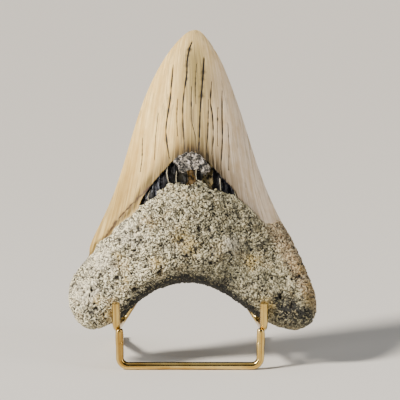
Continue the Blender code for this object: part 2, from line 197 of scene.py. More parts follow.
def nearest_of(places, points):
    """Number and distance of the nearest of the places, for each point."""
    places, points = (np.pad(rows, ((0, 0), (0, 3 - rows.shape[1]))).tolist() for rows in (places, points))
    tree = kdtree.KDTree(len(places))
    for number, place in enumerate(places):
        tree.insert(place, number)
    tree.balance()
    found = [tree.find(point) for point in points]
    return np.array([hit[1] for hit in found], int), np.array([hit[2] for hit in found])


def distance_to_line(points, line, closed=False):
    """Distance from each point to a line, whose own points are close together."""
    nearest, _ = nearest_of(line, points)
    found = np.full(len(points), np.inf)
    for step in (-1, 1):
        other = (nearest + step) % len(line) if closed else np.clip(nearest + step, 0, len(line) - 1)
        along = line[other] - line[nearest]
        gap = points - line[nearest]
        t = np.clip((gap * along).sum(1) / np.maximum((along * along).sum(1), TINY), 0.0, 1.0)
        found = np.minimum(found, np.linalg.norm(gap - t[:, None] * along, axis=1))
    return found


def inside(points, loop):
    """True for each point inside a closed loop."""
    result = np.zeros(len(points), bool)
    for a, b in zip(loop, np.roll(loop, -1, axis=0)):
        crosses = (a[1] > points[:, 1]) != (b[1] > points[:, 1])
        rise = b[1] - a[1] if b[1] != a[1] else TINY
        result ^= crosses & (points[:, 0] < (b[0] - a[0]) * (points[:, 1] - a[1]) / rise + a[0])
    return result


def noise_at(points, size, seed):
    """Smooth noise from about -1 to 1 at places in mm, its lumps about size across."""
    scaled = points / size
    if scaled.shape[1] == 2:
        scaled = np.column_stack([scaled, np.full(len(scaled), seed)])
    else:
        scaled = scaled + seed * SEED_SHIFT
    return np.array([noise.noise(Vector(place)) for place in scaled]) * NOISE_GAIN


def waves_at(points, *waves):
    """Several noises added up, each given by its height, size and seed."""
    return sum(height * noise_at(points, size, seed) for height, size, seed in waves)


def shift_at(points, reach, size, seeds):
    """Ragged shifts of places, by noise with a seed for each direction."""
    return reach * np.column_stack([noise_at(points, size, seed) for seed in seeds])


def wavered(line, axis, *waves):
    """The line shifted by waves along one axis."""
    line = line.copy()
    line[:, axis] += waves_at(line, *waves)
    return line


print("noise over 10 mm:", np.round(noise_at(np.array([(0.0, 0.0), (5.0, 0.0), (10.0, 0.0)]), 4.5, 1.0), 2))

# %% [markdown]
# Band, crust, cracks and stains
#
# Under the enamel's apex the softer band has weathered into a dark hollow with upright columns in
# it, split by thin pale veins. Hard grey crust covers its top. On the crown, drying has opened
# long cracks along the enamel's grain, and iron has left a brown line beside the margin. They are
# drawn as lines too: the band and crust as closed ones, the cracks and veins as open ones with a
# width each.

# %% Lines of the band, the crust and the cracks
BAND_LEFT_END = (-21.2, 49.9)
BAND_RIGHT_END = (18.6, 54.1)
BAND_LOWER_EDGE = [
    (15.2, 54.6), (12.9, 55.2), (11.2, 56.6), (9.4, 55.8), (7.4, 57.5), (5.5, 58.4),
    (3.4, 59.3), (1.6, 58.4), (-0.4, 57.2), (-2.4, 57.4), (-4.4, 58.7), (-6.2, 58.0),
    (-8.9, 58.4), (-10.6, 56.3), (-12.6, 55.9), (-14.2, 53.5), (-16.8, 51.8), (-19.0, 50.0),
]
CRUST_EDGE = [
    (-7.2, 68.3), (-6.0, 69.8), (-4.3, 70.9), (-2.0, 72.3), (1.4, 72.4), (3.8, 71.3), (6.0, 69.2),
    (8.4, 66.9), (8.0, 64.8), (6.9, 63.6), (6.4, 62.2), (5.2, 63.0), (4.1, 64.3), (1.6, 64.8),
    (-0.6, 64.5), (-2.6, 63.6), (-4.4, 64.2), (-5.2, 66.2),
]
CRACKS = [
    ([(0.7, 122.6), (-0.4, 119.0), (-1.3, 113.6), (-1.5, 107.0), (-2.2, 101.0)], 0.44),
    ([(-1.3, 110.0), (-1.9, 104.7), (-3.0, 94.3), (-3.0, 85.3), (-2.3, 74.0)], 0.26),
    ([(5.8, 115.4), (5.3, 106.2), (4.6, 97.0), (4.2, 91.0)], 0.44),
    ([(4.8, 100.0), (4.3, 93.0), (4.1, 88.9), (3.9, 81.4), (3.6, 73.6)], 0.30),
    ([(-7.2, 112.0), (-7.9, 102.7), (-8.5, 95.5), (-10.0, 84.4), (-9.8, 78.1), (-8.7, 70.6)], 0.34),
    ([(0.5, 101.6), (0.5, 93.0), (0.7, 86.0), (2.2, 79.2), (2.4, 73.4)], 0.17),
    ([(9.0, 104.3), (8.5, 95.2), (9.3, 88.8), (9.6, 79.4), (9.0, 72.0)], 0.25),
    ([(13.4, 100.6), (13.3, 89.2), (13.4, 78.9), (12.7, 65.4)], 0.27),
    ([(-20.0, 80.0), (-20.1, 71.2), (-20.7, 65.7)], 0.20),
    ([(7.6, 96.0), (7.5, 87.0), (7.2, 79.0), (6.6, 73.2)], 0.22),
    ([(-5.2, 96.0), (-5.6, 88.0), (-5.2, 80.0)], 0.18),
    ([(2.6, 112.0), (2.2, 102.0), (2.4, 94.0)], 0.20),
    ([(11.6, 92.0), (11.4, 84.0), (11.5, 76.0)], 0.18),
    ([(15.8, 86.0), (16.2, 76.0), (16.0, 66.0)], 0.16),
    ([(-13.4, 90.0), (-14.4, 80.0), (-14.8, 70.0)], 0.16),
]
BACK_CRACKS = [
    ([(3.0, 118.0), (1.2, 104.0), (0.4, 88.0), (0.0, 70.0), (0.6, 54.0)], 0.30),
    ([(-5.0, 108.0), (-6.8, 92.0), (-8.4, 76.0), (-8.8, 60.0)], 0.25),
    ([(8.6, 104.0), (9.6, 88.0), (10.2, 70.0), (9.8, 56.0)], 0.27),
    ([(-13.0, 84.0), (-15.0, 70.0), (-15.6, 52.0)], 0.24),
    ([(16.0, 82.0), (17.8, 68.0), (18.6, 56.0)], 0.24),
    ([(4.6, 92.0), (5.0, 76.0), (4.6, 62.0)], 0.22),
]
VEINS = [
    ([(-9.3, 66.6), (-9.7, 64.0), (-9.2, 61.0), (-8.4, 58.4)], 0.20),
    ([(-5.6, 64.2), (-5.8, 61.0), (-5.6, 57.8)], 0.15),
    ([(2.5, 64.8), (2.5, 61.0), (3.4, 59.0), (5.0, 58.2)], 0.14),
    ([(12.2, 61.4), (12.5, 58.0), (12.7, 54.8)], 0.13),
    ([(-16.4, 57.2), (-17.4, 54.4), (-17.2, 52.0)], 0.15),
]
MARGIN_STAIN = [(-16.6, 57.9), (-22.2, 52.8), (-28.8, 46.4), (-31.7, 42.6), (-33.4, 40.2), (-35.3, 37.8)]

LINE_STEP = 0.3

margin_wear = wavered(smooth_curve(FACE_MARGIN, 0.35), 1, (0.35, 1.6, 21.0), (0.25, 0.7, 22.0))
margin_wear = margin_wear[np.concatenate([[True], np.diff(np.maximum.accumulate(margin_wear[:, 0])) > 0])]
back_margin = wavered(smooth_curve(BACK_MARGIN, 0.6), 1, (0.5, 2.5, 23.0))
crust = smooth_curve(CRUST_EDGE, LINE_STEP, True)
crust += shift_at(crust, 0.35, 1.1, (24.0, 25.0))
between = (margin_wear[:, 0] > BAND_LEFT_END[0] + 0.5) & (margin_wear[:, 0] < BAND_RIGHT_END[0] - 0.5)
band = np.vstack([
    [BAND_LEFT_END], margin_wear[between], [BAND_RIGHT_END], smooth_curve(BAND_LOWER_EDGE, 0.35),
])
cracks, back_cracks, veins = (
    [(smooth_curve(line, LINE_STEP), width) for line, width in lines]
    for lines in (CRACKS, BACK_CRACKS, VEINS)
)
back_cracks = [
    (wavered(line, 0, (0.45, 7.0, 26.0), (0.15, 2.0, 27.0)), width) for line, width in back_cracks
]
iron_line = wavered(smooth_curve(MARGIN_STAIN, LINE_STEP), 1, (0.30, 2.6, 28.0), (0.15, 0.9, 29.0))
print("cracks on the face:", len(cracks), "and on the back:", len(back_cracks))

# %% [markdown]
# The tooth as two reliefs
#
# Seen square on, every place of the tooth has one height on its display face and one on its back,
# so each face can be made as a relief over the outline, like the two sides of a coin. The crown
# is a lens with a flat back. The root swells to a bulge behind the arch and has thick round lobes.
# Sculpting by hand could give this too, but here each thickness is a number that can be measured
# on a real tooth.

# %% Thicknesses of the crown and the root, in millimetres from w = 0
CROWN_FACE_RATIO, CROWN_FACE_POWER = 0.43, 2.3
CROWN_BACK_RATIO, CROWN_BACK_POWER = 0.11, 3.0
# Even a sharp edge is a few hundredths of a millimetre thick, which keeps the two faces apart.
EDGE_BLUNTNESS = 0.06
TIP_SWEEP, SWEEP_START_V = 2.2, 48.0
BULGE_HEIGHT, BULGE_HALF_WIDTH, BULGE_POWER = 19.5, 21.0, 2.4
LOBE_HEIGHT, SHOULDER_HEIGHT, ROOT_BACK = 9.5, 4.5, -5.4
ROOT_STEP, BACK_STEP_IN, STEP_WIDTH = 0.75, 0.4, 0.4
ROOT_BLEND, BACK_BLEND = 16.0, 12.0
ROUNDING_LOBE, ROUNDING_SHOULDER, ROUNDING_BULGE = 7.5, 4.0, 3.0
ROOT_MID_PLANE = 2.0
# How many of a cutting edge's lowest points give its slope below them.
SLOPE_POINTS = 30
# Where each begins to grow and over how far, down towards the lobes.
LOBE_GROWTH, ROUNDING_GROWTH, MID_PLANE_GROWTH = (42.0, -30.0), (40.0, -22.0), (34.0, -16.0)


def crown_section(points):
    """Place across the crown from -1 to 1, and half the crown's width, at each point."""
    sides = []
    for edge in (left_edge, right_edge):
        run = edge[SLOPE_POINTS] - edge[0]
        below = edge[0, 0] + run[0] / run[1] * (points[:, 1] - edge[0, 1])
        above = np.interp(points[:, 1], edge[:, 1], edge[:, 0])
        sides.append(np.where(points[:, 1] < edge[0, 1], below, above))
    half = np.maximum(0.5 * (sides[1] - sides[0]), 1e-3)
    return np.clip((points[:, 0] - 0.5 * (sides[0] + sides[1])) / half, -1.0, 1.0), half


def is_root(points, margin):
    """True for each point below the enamel's edge."""
    return points[:, 1] < np.interp(points[:, 0], margin[:, 0], margin[:, 1])


def depth_below(points, margin):
    """How far each point lies below the enamel's edge, negative on the enamel."""
    away = distance_to_line(points, margin)
    return np.where(is_root(points, margin), away, -away)


def bulge_at(u):
    """Share of the root's middle bulge, from 1 in the middle of the tooth to 0 at its lobes."""
    return fading(u, BULGE_HALF_WIDTH, BULGE_POWER)


def sweep_at(v):
    """How far the crown has bent back by height v, most at its tip."""
    return TIP_SWEEP * np.clip((v - SWEEP_START_V) / (RIGHT_EDGE[0][1] - SWEEP_START_V), 0.0, 1.0) ** 2


def rounding(points):
    """Shape of the root's rounded rim: 0 at the outline and 1 well inside it."""
    extra = (ROUNDING_LOBE - ROUNDING_SHOULDER) * rising(points[:, 1], *ROUNDING_GROWTH)
    radius = ROUNDING_SHOULDER + extra + ROUNDING_BULGE * bulge_at(points[:, 0])
    rim = np.clip(distance_to_line(points, outline, True) / radius, 0.0, 1.0)
    return np.sqrt(np.maximum(1.0 - (1.0 - rim) ** 2, 0.0))


# %% [markdown]
# Lumps, knobs and pits
#
# A fossil root has been bone-like, chewed and scoured, so its surface has three sizes of relief
# before any grain: lumps about a centimetre across, knobs half that, and shallow round pits. The
# pits keep their distance from each other, as real ones do, because two that met would have become
# one. The holes that the photograph shows one by one get a place each.

# %% Relief of the root
LUMP_HEIGHT, LUMP_SIZE = 1.1, 11.0
KNOB_HEIGHT, KNOB_SIZE = 0.60, 4.5
BACK_RELIEF, RELIEF_FADE = 0.6, 5.0
PIT_COUNT, PIT_TRIES, PIT_SPACING, PIT_SEED = 90, 360, 4.4, 5
PITS_FROM, PITS_TO = (-50.0, 0.0), (52.0, 66.0)
PIT_RADIUS, PIT_DEPTH = (1.9, 3.0), (0.5, 1.0)
# Place, radius and depth of each hole.
HOLES = [
    ((-44.5, 21.0), 0.9, 1.0), ((-40.1, 15.2), 1.2, 1.3), ((-34.6, 14.4), 0.9, 1.4),
    ((-34.9, 12.4), 0.9, 1.4), ((-37.6, 20.6), 1.0, 1.0), ((-31.6, 15.9), 0.9, 1.1),
    ((-22.5, 15.0), 1.3, 1.3), ((-2.9, 34.3), 1.4, 1.3), ((-30.0, 20.2), 1.2, 1.2),
    ((3.4, 39.6), 0.9, 1.0), ((-12.2, 33.0), 1.0, 1.1), ((16.4, 30.2), 1.0, 1.0),
    ((-22.8, 31.6), 0.9, 1.0), ((-5.8, 27.4), 1.1, 1.1), ((26.4, 27.4), 0.9, 1.0),
    ((37.0, 12.4), 1.4, 1.2), ((41.6, 8.6), 1.6, 1.3), ((46.2, 12.0), 1.2, 1.1),
    ((33.4, 20.2), 0.9, 1.0), ((-12.6, 21.8), 1.3, 1.2), ((8.2, 24.8), 1.1, 1.1),
    ((-38.6, 7.4), 1.1, 1.1), ((-45.6, 9.4), 0.9, 1.0), ((20.6, 42.4), 0.8, 0.9),
    ((44.8, 26.4), 0.9, 0.9), ((-18.2, 24.6), 1.0, 1.0),
]


def scattered_pits():
    """Places, sizes and depths of the root's larger pits."""
    rng = np.random.default_rng(PIT_SEED)
    kept = []
    for place in rng.uniform(PITS_FROM, PITS_TO, (PIT_TRIES, 2)):
        if len(kept) < PIT_COUNT and all(np.hypot(*(place - other)) > PIT_SPACING for other in kept):
            kept.append(place)
    return list(zip(kept, rng.uniform(*PIT_RADIUS, len(kept)), rng.uniform(*PIT_DEPTH, len(kept))))


pits = scattered_pits()


def relief(points, side):
    """Lumps, knobs and pits of the root on one side, 1 for the face and -1 for the back."""
    lumps, knobs = (LUMP_HEIGHT, LUMP_SIZE, 3.0 * side), (KNOB_HEIGHT, KNOB_SIZE, 7.0 + 3.0 * side)
    height = waves_at(points, lumps, knobs)
    for place, radius, depth in pits:
        gap = points - (place if side > 0 else place * np.array((-1.0, 1.0)))
        height -= depth * np.maximum(1.0 - (gap * gap).sum(1) / radius ** 2, 0.0)
    return height


print("pits:", len(pits), "and holes placed one by one:", len(HOLES))

# %% [markdown]
# Cracks and the band's columns
#
# A drying crack starts as a hair, opens and closes again, and it wanders in width on the way. Each
# one is therefore a groove whose width tapers to its ends and follows noise. The band's floor is
# a row of scallops, one to a column, with a ridge where two columns meet.

# %% Grooves and columns
CRACK_DEPTH, CRACK_FADE = 0.20, 0.3
VEIN_HEIGHT = 0.45
# How far a line is looked for, the share of it that tapers at each end, and its wavers along it.
LINE_REACH, TAPER_SHARE, WAVERS = 1.2, 0.2, 9.0
END_WIDTH, GROOVE_SHARE, THINNEST = 0.3, 0.80, 0.04
BAND_DEPTH = 2.4
COLUMN_BORDERS = [-15.2, -12.7, -9.3, -5.7, -1.1, 2.5, 5.1, 9.3, 12.5, 15.4]
BORDER_HEIGHT, BORDER_HALF_WIDTH = 1.1, 0.55
BAND_STEP_WIDTH = 0.45
CRUST_HEIGHT, CRUST_STEP_WIDTH = 1.0, 0.5


def line_strength(points, lines, seed, wavering=0.55):
    """1 in the middle of each line, 0 outside its width, which tapers and wavers along it."""
    strength = np.zeros(len(points))
    for number, (line, width) in enumerate(lines):
        low, high = line.min(0) - LINE_REACH, line.max(0) + LINE_REACH
        near = np.nonzero(((points >= low) & (points <= high)).all(1))[0]
        if not len(near):
            continue
        gaps = points[near][:, None, :] - line[None, :, :]
        squared = (gaps * gaps).sum(2)
        nearest = squared.argmin(1)
        place = nearest / (len(line) - 1)
        taper = np.sqrt(np.clip(np.minimum(place, 1.0 - place) / TAPER_SHARE, 0.0, 1.0))
        waver = noise_at(np.column_stack([place * WAVERS, np.full(len(place), number)]), 1.0, seed)
        half = GROOVE_SHARE * width * (END_WIDTH + (1.0 - END_WIDTH) * taper) * (1.0 + wavering * waver)
        away = np.sqrt(squared[np.arange(len(near)), nearest])
        strength[near] = np.maximum(strength[near], smooth_step(1.5 - away / np.maximum(half, THINNEST)))
    return strength


def column_floor(u):
    """Height of the band's floor above its deepest, a ridge at each border of two columns."""
    return BORDER_HEIGHT * sum(fading(u - at, BORDER_HALF_WIDTH) for at in COLUMN_BORDERS)


# %% [markdown]
# Both faces, put together
#
# Each face starts as the bare crown. The root takes over below the enamel's edge, set back by a
# small step, and its rim is rounded down to a middle plane that both faces share. Then the band is
# sunk in, the crust laid on top and the cracks cut, each with its own few numbers to change.

# %% Heights of the display face and the back
CRUST_WAVES = (0.45, 2.2, 11.0), (0.4, 0.9, 12.0)


def with_root(points, crown, full, depth, rim):
    """The crown's height on the enamel, and below it the full root, rounded off at its rim."""
    middle = ROOT_MID_PLANE * rising(points[:, 1], *MID_PLANE_GROWTH)
    step = smooth_step(depth / STEP_WIDTH)
    return crown * (1.0 - step) + (middle + (full - middle) * rim) * step


def rough_on(points, side, depth, rim):
    """The root's relief, calm beside the enamel and towards the rim."""
    return relief(points, side) * smooth_step(depth / RELIEF_FADE) * rim ** 2


def covered_by(points, loop, step_width):
    """True inside a closed loop, and 0 to 1 for how far its sloping edge has risen or sunk."""
    covered = inside(points, loop)
    return covered, np.where(covered, smooth_step(distance_to_line(points, loop, True) / step_width), 0.0)


def cracked(points, lines, depth, *waver):
    """Strength of the cracks, which end at the enamel's edge."""
    return line_strength(points, lines, *waver) * smooth_step(-depth / CRACK_FADE)


def face_height(points):
    """Height of the display face, and the masks that its surfaces are told apart by."""
    u, v = points[:, 0], points[:, 1]
    across, half = crown_section(points)
    rim = rounding(points)
    crown = CROWN_FACE_RATIO * half * (1.0 - np.abs(across) ** CROWN_FACE_POWER) + EDGE_BLUNTNESS * rim
    depth = depth_below(points, margin_wear)
    root = SHOULDER_HEIGHT + (LOBE_HEIGHT - SHOULDER_HEIGHT) * rising(v, *LOBE_GROWTH)
    root = root + (BULGE_HEIGHT - root) * bulge_at(u)
    rise = smooth_step(depth / ROOT_BLEND)
    full = (crown + ROOT_STEP) * (1.0 - rise) + root * rise + rough_on(points, 1, depth, rim)
    height = with_root(points, crown, full, depth, rim)
    in_band, sunk = covered_by(points, band, BAND_STEP_WIDTH)
    vein = line_strength(points, veins, 31.0) * sunk
    height = height - sunk * (BAND_DEPTH - column_floor(u)) + VEIN_HEIGHT * vein
    on_crust, raised = covered_by(points, crust, CRUST_STEP_WIDTH)
    height = height * (1.0 - raised) + (crown + CRUST_HEIGHT + waves_at(points, *CRUST_WAVES)) * raised
    crack = cracked(points, cracks, depth, 33.0) * (1.0 - raised)
    height = height - CRACK_DEPTH * crack - sweep_at(v)
    surface = np.where(on_crust, 3, np.where(in_band, 2, np.where(depth > 0.0, 1, 0)))
    return height, {"depth": depth, "crack": crack, "vein": vein, "sunk": sunk, "surface": surface}


def back_height(points):
    """Height of the back, and its masks."""
    across, half = crown_section(points)
    rim = rounding(points)
    crown = -CROWN_BACK_RATIO * half * (1.0 - np.abs(across) ** CROWN_BACK_POWER)
    depth = depth_below(points, back_margin)
    rise = smooth_step(depth / BACK_BLEND)
    full = (crown + BACK_STEP_IN) * (1.0 - rise) + ROOT_BACK * rise
    full = full - BACK_RELIEF * rough_on(points, -1, depth, rim)
    crack = cracked(points, back_cracks, depth, 35.0, 0.3)
    height = with_root(points, crown, full, depth, rim) + CRACK_DEPTH * crack - sweep_at(points[:, 1])
    none = np.zeros(len(points))
    return height, {"depth": depth, "crack": crack, "vein": none, "sunk": none, "surface": (depth > 0.0) * 1}


middle = np.array([(0.0, 30.0), (0.0, 90.0)])
thickness = face_height(middle)[0] - back_height(middle)[0]
print("thickness at the bulge and in the crown:", np.round(thickness, 1))

# %% [markdown]
# Where the mesh needs its points
#
# A regular grid would need millions of points to hold a crack of a third of a millimetre. Points
# are laid where the form needs them instead: along the rim, in rows on both sides of each crack,
# vein and step, closely on the root and widely on the smooth enamel. A Delaunay triangulation
# then joins them with the best-shaped triangles there are.

# %% Points of both faces
RIM_STEP = 0.30
ROOT_GRID, BAND_GRID, CROWN_GRID = 0.31, 0.30, 0.80
BACK_ROOT_GRID, BACK_CROWN_GRID = 0.56, 1.05
# Rows that follow the rim: their distances from it, how much of that they keep, and how far apart
# their points are, which is more for each millimetre inwards.
RING_DISTANCES = (0.06, 0.22, 0.5, 0.9, 1.4, 2.0, 2.7)
RING_CLEARANCE, RING_SPACING, RING_WIDENING = 0.85, 0.28, 0.16
# The gap between rows along a line and the outline, and the spacing along a closed loop.
ROW_GAP, LOOP_SPACING = 0.2, 0.16
# A grid's points are dropped where they come nearer than this share of its step to finer rows.
GRID_SHARE = 0.75
GRID_REACH = 54.0
CROWN_ROWS = (26.0, 129.0)
SERRATION_PITCH, SERRATION_DEPTH, WORN_SIZE = 1.0, 0.11, 6.0
# The soft chip beside the tip: its place, its depth and its reach squared.
CHIP_PLACE, CHIP_DEPTH, CHIP_REACH_SQUARED = (10.2, 120.4), 0.18, 0.8


def beside(line, distance, closed=False):
    """The line moved sideways by the distance, to the right of the way it runs."""
    if closed:
        along = np.roll(line, -1, axis=0) - np.roll(line, 1, axis=0)
    else:
        along = np.gradient(line, axis=0)
    right = np.stack([along[:, 1], -along[:, 0]], axis=1)
    return line + right * (distance / np.maximum(np.linalg.norm(right, axis=1), TINY)[:, None])


def serrated(rim):
    """The rim with the crown's edges worn into fine blunt serrations, which only cut inwards."""
    length = np.arange(len(rim)) * RIM_STEP
    teeth = 0.5 + 0.5 * np.sin(2.0 * math.pi * length / SERRATION_PITCH)
    wear = 0.5 + 0.5 * noise_at(rim, WORN_SIZE, 41.0)
    on_crown = rising(rim[:, 1], 40.0, 6.0)
    chip = CHIP_DEPTH * np.exp(-((rim - CHIP_PLACE) ** 2).sum(1) / CHIP_REACH_SQUARED)
    inward = (SERRATION_DEPTH * teeth * wear * on_crown + chip)[:, None]
    return beside(rim, 1.0, True) * inward + rim * (1.0 - inward)


rim = serrated(smooth_curve(WHOLE_EDGE, RIM_STEP, True))


def within(points, gap):
    """The points inside the outline that keep the gap to it."""
    points = points[inside(points, outline)]
    return points[distance_to_line(points, outline, True) > gap]


def ring_layers(step):
    """Rows of points that follow the rim inwards, for its rounding."""
    for distance in RING_DISTANCES:
        ring = within(beside(rim, distance, True), RING_CLEARANCE * distance)
        yield ring, min(step, RING_SPACING + RING_WIDENING * distance)


def rows_beside(lines, distances, spacing):
    """Rows of points along lines and beside them."""
    rows = [within(beside(line, distance), ROW_GAP) for line in lines for distance in distances]
    return np.vstack(rows), spacing


def loop_rows(loop, step):
    """Rows of points along a closed loop, and one and two steps inside it."""
    rows = [beside(loop, distance, True) for distance in (0.0, step, 2.0 * step)]
    return np.vstack(rows), LOOP_SPACING


def grid_layer(step, rows, gap, chosen=None):
    """A staggered grid inside the outline between two heights, or the chosen part of it."""
    heights = np.arange(*rows, step * math.sqrt(0.75))
    columns = np.arange(-GRID_REACH, GRID_REACH, step)
    shifts = 0.5 * step * (np.arange(len(heights)) % 2)
    grid = np.column_stack([(columns + shifts[:, None]).ravel(), np.repeat(heights, len(columns))])
    grid = within(grid, gap)
    return grid if chosen is None else grid[chosen(grid)], GRID_SHARE * step


def laid_in_turn(layers):
    """All layers of points in turn, each kept only where it is far enough from those before it."""
    kept = rim
    for points, spacing in layers:
        kept = np.vstack([kept, points[nearest_of(kept, points)[1] >= spacing]])
    return kept


def face_points():
    """Points of the display face, the finest features first."""
    return laid_in_turn([
        loop_rows(crust, 0.27),
        loop_rows(band, 0.24),
        rows_beside([margin_wear], (0.0, 0.2, 0.42, -0.35, -0.8, -1.3), 0.16),
        rows_beside([line for line, _ in cracks + veins], (0.0, 0.2, -0.2, 0.42, -0.42), 0.14),
        rows_beside([iron_line], (0.0, 0.22, -0.22, 0.5, -0.5), 0.15),
        *ring_layers(ROOT_GRID),
        grid_layer(BAND_GRID, (48.0, 74.0), 0.3, lambda grid: inside(grid, band) | inside(grid, crust)),
        grid_layer(ROOT_GRID, (0.0, 70.0), 0.3, lambda grid: is_root(grid, margin_wear)),
        grid_layer(CROWN_GRID, CROWN_ROWS, 0.4),
    ])


def back_points():
    """Points of the back."""
    return laid_in_turn([
        rows_beside([back_margin], (0.0, -0.25), 0.2),
        rows_beside([line for line, _ in back_cracks], (0.0, 0.22, -0.22), 0.15),
        *ring_layers(BACK_ROOT_GRID),
        grid_layer(BACK_ROOT_GRID, (0.0, 50.0), 0.4, lambda grid: is_root(grid, back_margin)),
        grid_layer(BACK_CROWN_GRID, CROWN_ROWS, 0.5),
    ])


def triangulated(points):
    """Places and triangles of a sheet of points within the rim, whose own points come first."""
    made = delaunay_2d_cdt([Vector(p) for p in points], [], [list(range(len(rim)))], 1, 1e-6)
    places, triangles = np.array([tuple(p) for p in made[0]]), np.array(made[2])
    a, b, c = (places[triangles[:, k]] for k in range(3))
    turn = (b - a)[:, 0] * (c - a)[:, 1] - (b - a)[:, 1] * (c - a)[:, 0]
    triangles[turn < 0.0] = triangles[turn < 0.0][:, ::-1]
    return places, triangles


face_places, face_triangles = triangulated(face_points())
back_places, back_triangles = triangulated(back_points())
print("triangles on the face and on the back:", len(face_triangles), len(back_triangles))

# %% [markdown]
# One closed mesh, leant back into the stand
#
# The two sheets share the rim's points, so they close into one solid with no seam to hide. Each
# triangle takes the material of the surface that its middle lies on, and some numbers are kept at
# every point for the finishes to read: how deep a crack runs there, or how hollow the root is.

# %% The two sheets joined
def joined_sheets():
    """Places in tooth space, triangles with their surface, and masks, of both sheets as one mesh."""
    face_w, face_masks = face_height(face_places)
    back_w, back_masks = back_height(back_places)
    shared = len(rim)
    face_w[:shared] = 0.5 * (face_w[:shared] + back_w[:shared])
    sheet_places = np.vstack([face_places, back_places[shared:]])
    places = np.column_stack([sheet_places, np.concatenate([face_w, back_w[shared:]])])
    masks = {name: np.concatenate([face_masks[name], back_masks[name][shared:]]) for name in face_masks}
    masks["on_face"] = (np.arange(len(places)) < len(face_places)) * 1.0
    moved = np.where(back_triangles < shared, back_triangles, back_triangles + len(face_places) - shared)
    surfaces = [
        height(flat[sheet].mean(1))[1]["surface"]
        for height, flat, sheet in (
            (face_height, face_places, face_triangles), (back_height, back_places, back_triangles),
        )
    ]
    return places, np.vstack([face_triangles, moved[:, ::-1]]), np.concatenate(surfaces), masks


places, triangles, surfaces, masks = joined_sheets()
u, v, w = places.T
on_face = masks["on_face"]
print("points and triangles of the tooth:", len(places), len(triangles))

# %% [markdown]
# Grain of the root
#
# The root is built like a sponge of pale grains with dark pores between them, a little under a
# millimetre from one to the next. A relief can't give that on the steep flanks, so the grain comes
# last and moves each point along its own normal. Seeds are spread one to a cell, and each is a
# grain or a pore. Between two grains the surface sinks into a seam, and worm-like grooves run
# through them. The root is first lifted a little all over, so the grains stand out, the seams sink
# in and the tooth keeps about its size. The grain fades out where the stand's wires touch it.

# %% Grains and pores
GRAIN_SIZE, GRAIN_RADIUS, GRAIN_DEPTH, GRAIN_LEVELS = 0.80, 0.56, 0.44, 0.36
SEED_JITTER = 0.25
WARP, WARP_SIZE = 0.40, 1.3
PORE_SHARE, PORE_RADIUS, PORE_DEPTH = 0.33, (0.34, 0.66), (0.5, 1.1)
WORM_DEPTH, WORM_SIZE, WORM_WIDTH = 0.40, 1.6, 0.24
CHEWED_DEPTH, CHEWED_SIZE = 0.40, 3.2
HOLLOW_FROM, HOLLOW_SPAN = 0.40, 0.42
# How much deeper and how much more hollow the grain is where the root is open or chewed.
OPEN_DEEPER, OPEN_HOLLOWER, CHEWED_HOLLOWER = 0.35, 0.14, 0.4
GRAIN_LIFT = 0.62
RIM_CALM, RIM_CALM_WIDTH = 0.6, 4.0
GRAIN_SEED = 12
# Over what depth below the enamel the grain begins, and its share left where the wires touch.
GRAIN_BEGINS_OVER, GRAIN_AT_WIRES = 0.9, 0.15
CHEWED_GAIN, CHEWED_BIAS = 0.6, 0.35
# A hole's ragged edge, the shape of its wall, and the depth at which it looks wholly dark.
HOLE_RAGGED, HOLE_RAGGED_SIZE, HOLE_WALL, DARK_HOLE_DEPTH = 0.6, 1.6, 0.7, 0.9
# The share of a hole's radius and of its depth that is cut, the rest being the grain's own.
HOLE_RADIUS_SHARE, HOLE_DEPTH_SHARE = 0.8, 0.8
# Centre and reach of the middle of the display face, which is more open than the rest.
OPEN_CENTRE, OPEN_REACH = (-4.0, 33.0), (16.0, 12.0)
# Where the hooks and the backrest touch the tooth, and from where and over how far the grain returns.
CONTACTS = np.array([
    (-30.2, 7.5, 19.2), (30.2, 7.5, 19.2), (-30.2, 0.2, 25.0), (30.2, 0.2, 25.0), (0.0, 25.3, 51.0),
])
GRAIN_RETURNS = (1.0, 4.0)
BOX_MARGIN = 0.02


def normals_of(table_places, triangles):
    """A normal at each point, from the triangles around it."""
    a, b, c = (table_places[triangles[:, k]] for k in range(3))
    flat = np.cross(b - a, c - a)
    total = np.zeros_like(table_places)
    for k in range(3):
        np.add.at(total, triangles[:, k], flat)
    return total / np.maximum(np.linalg.norm(total, axis=1), TINY)[:, None]


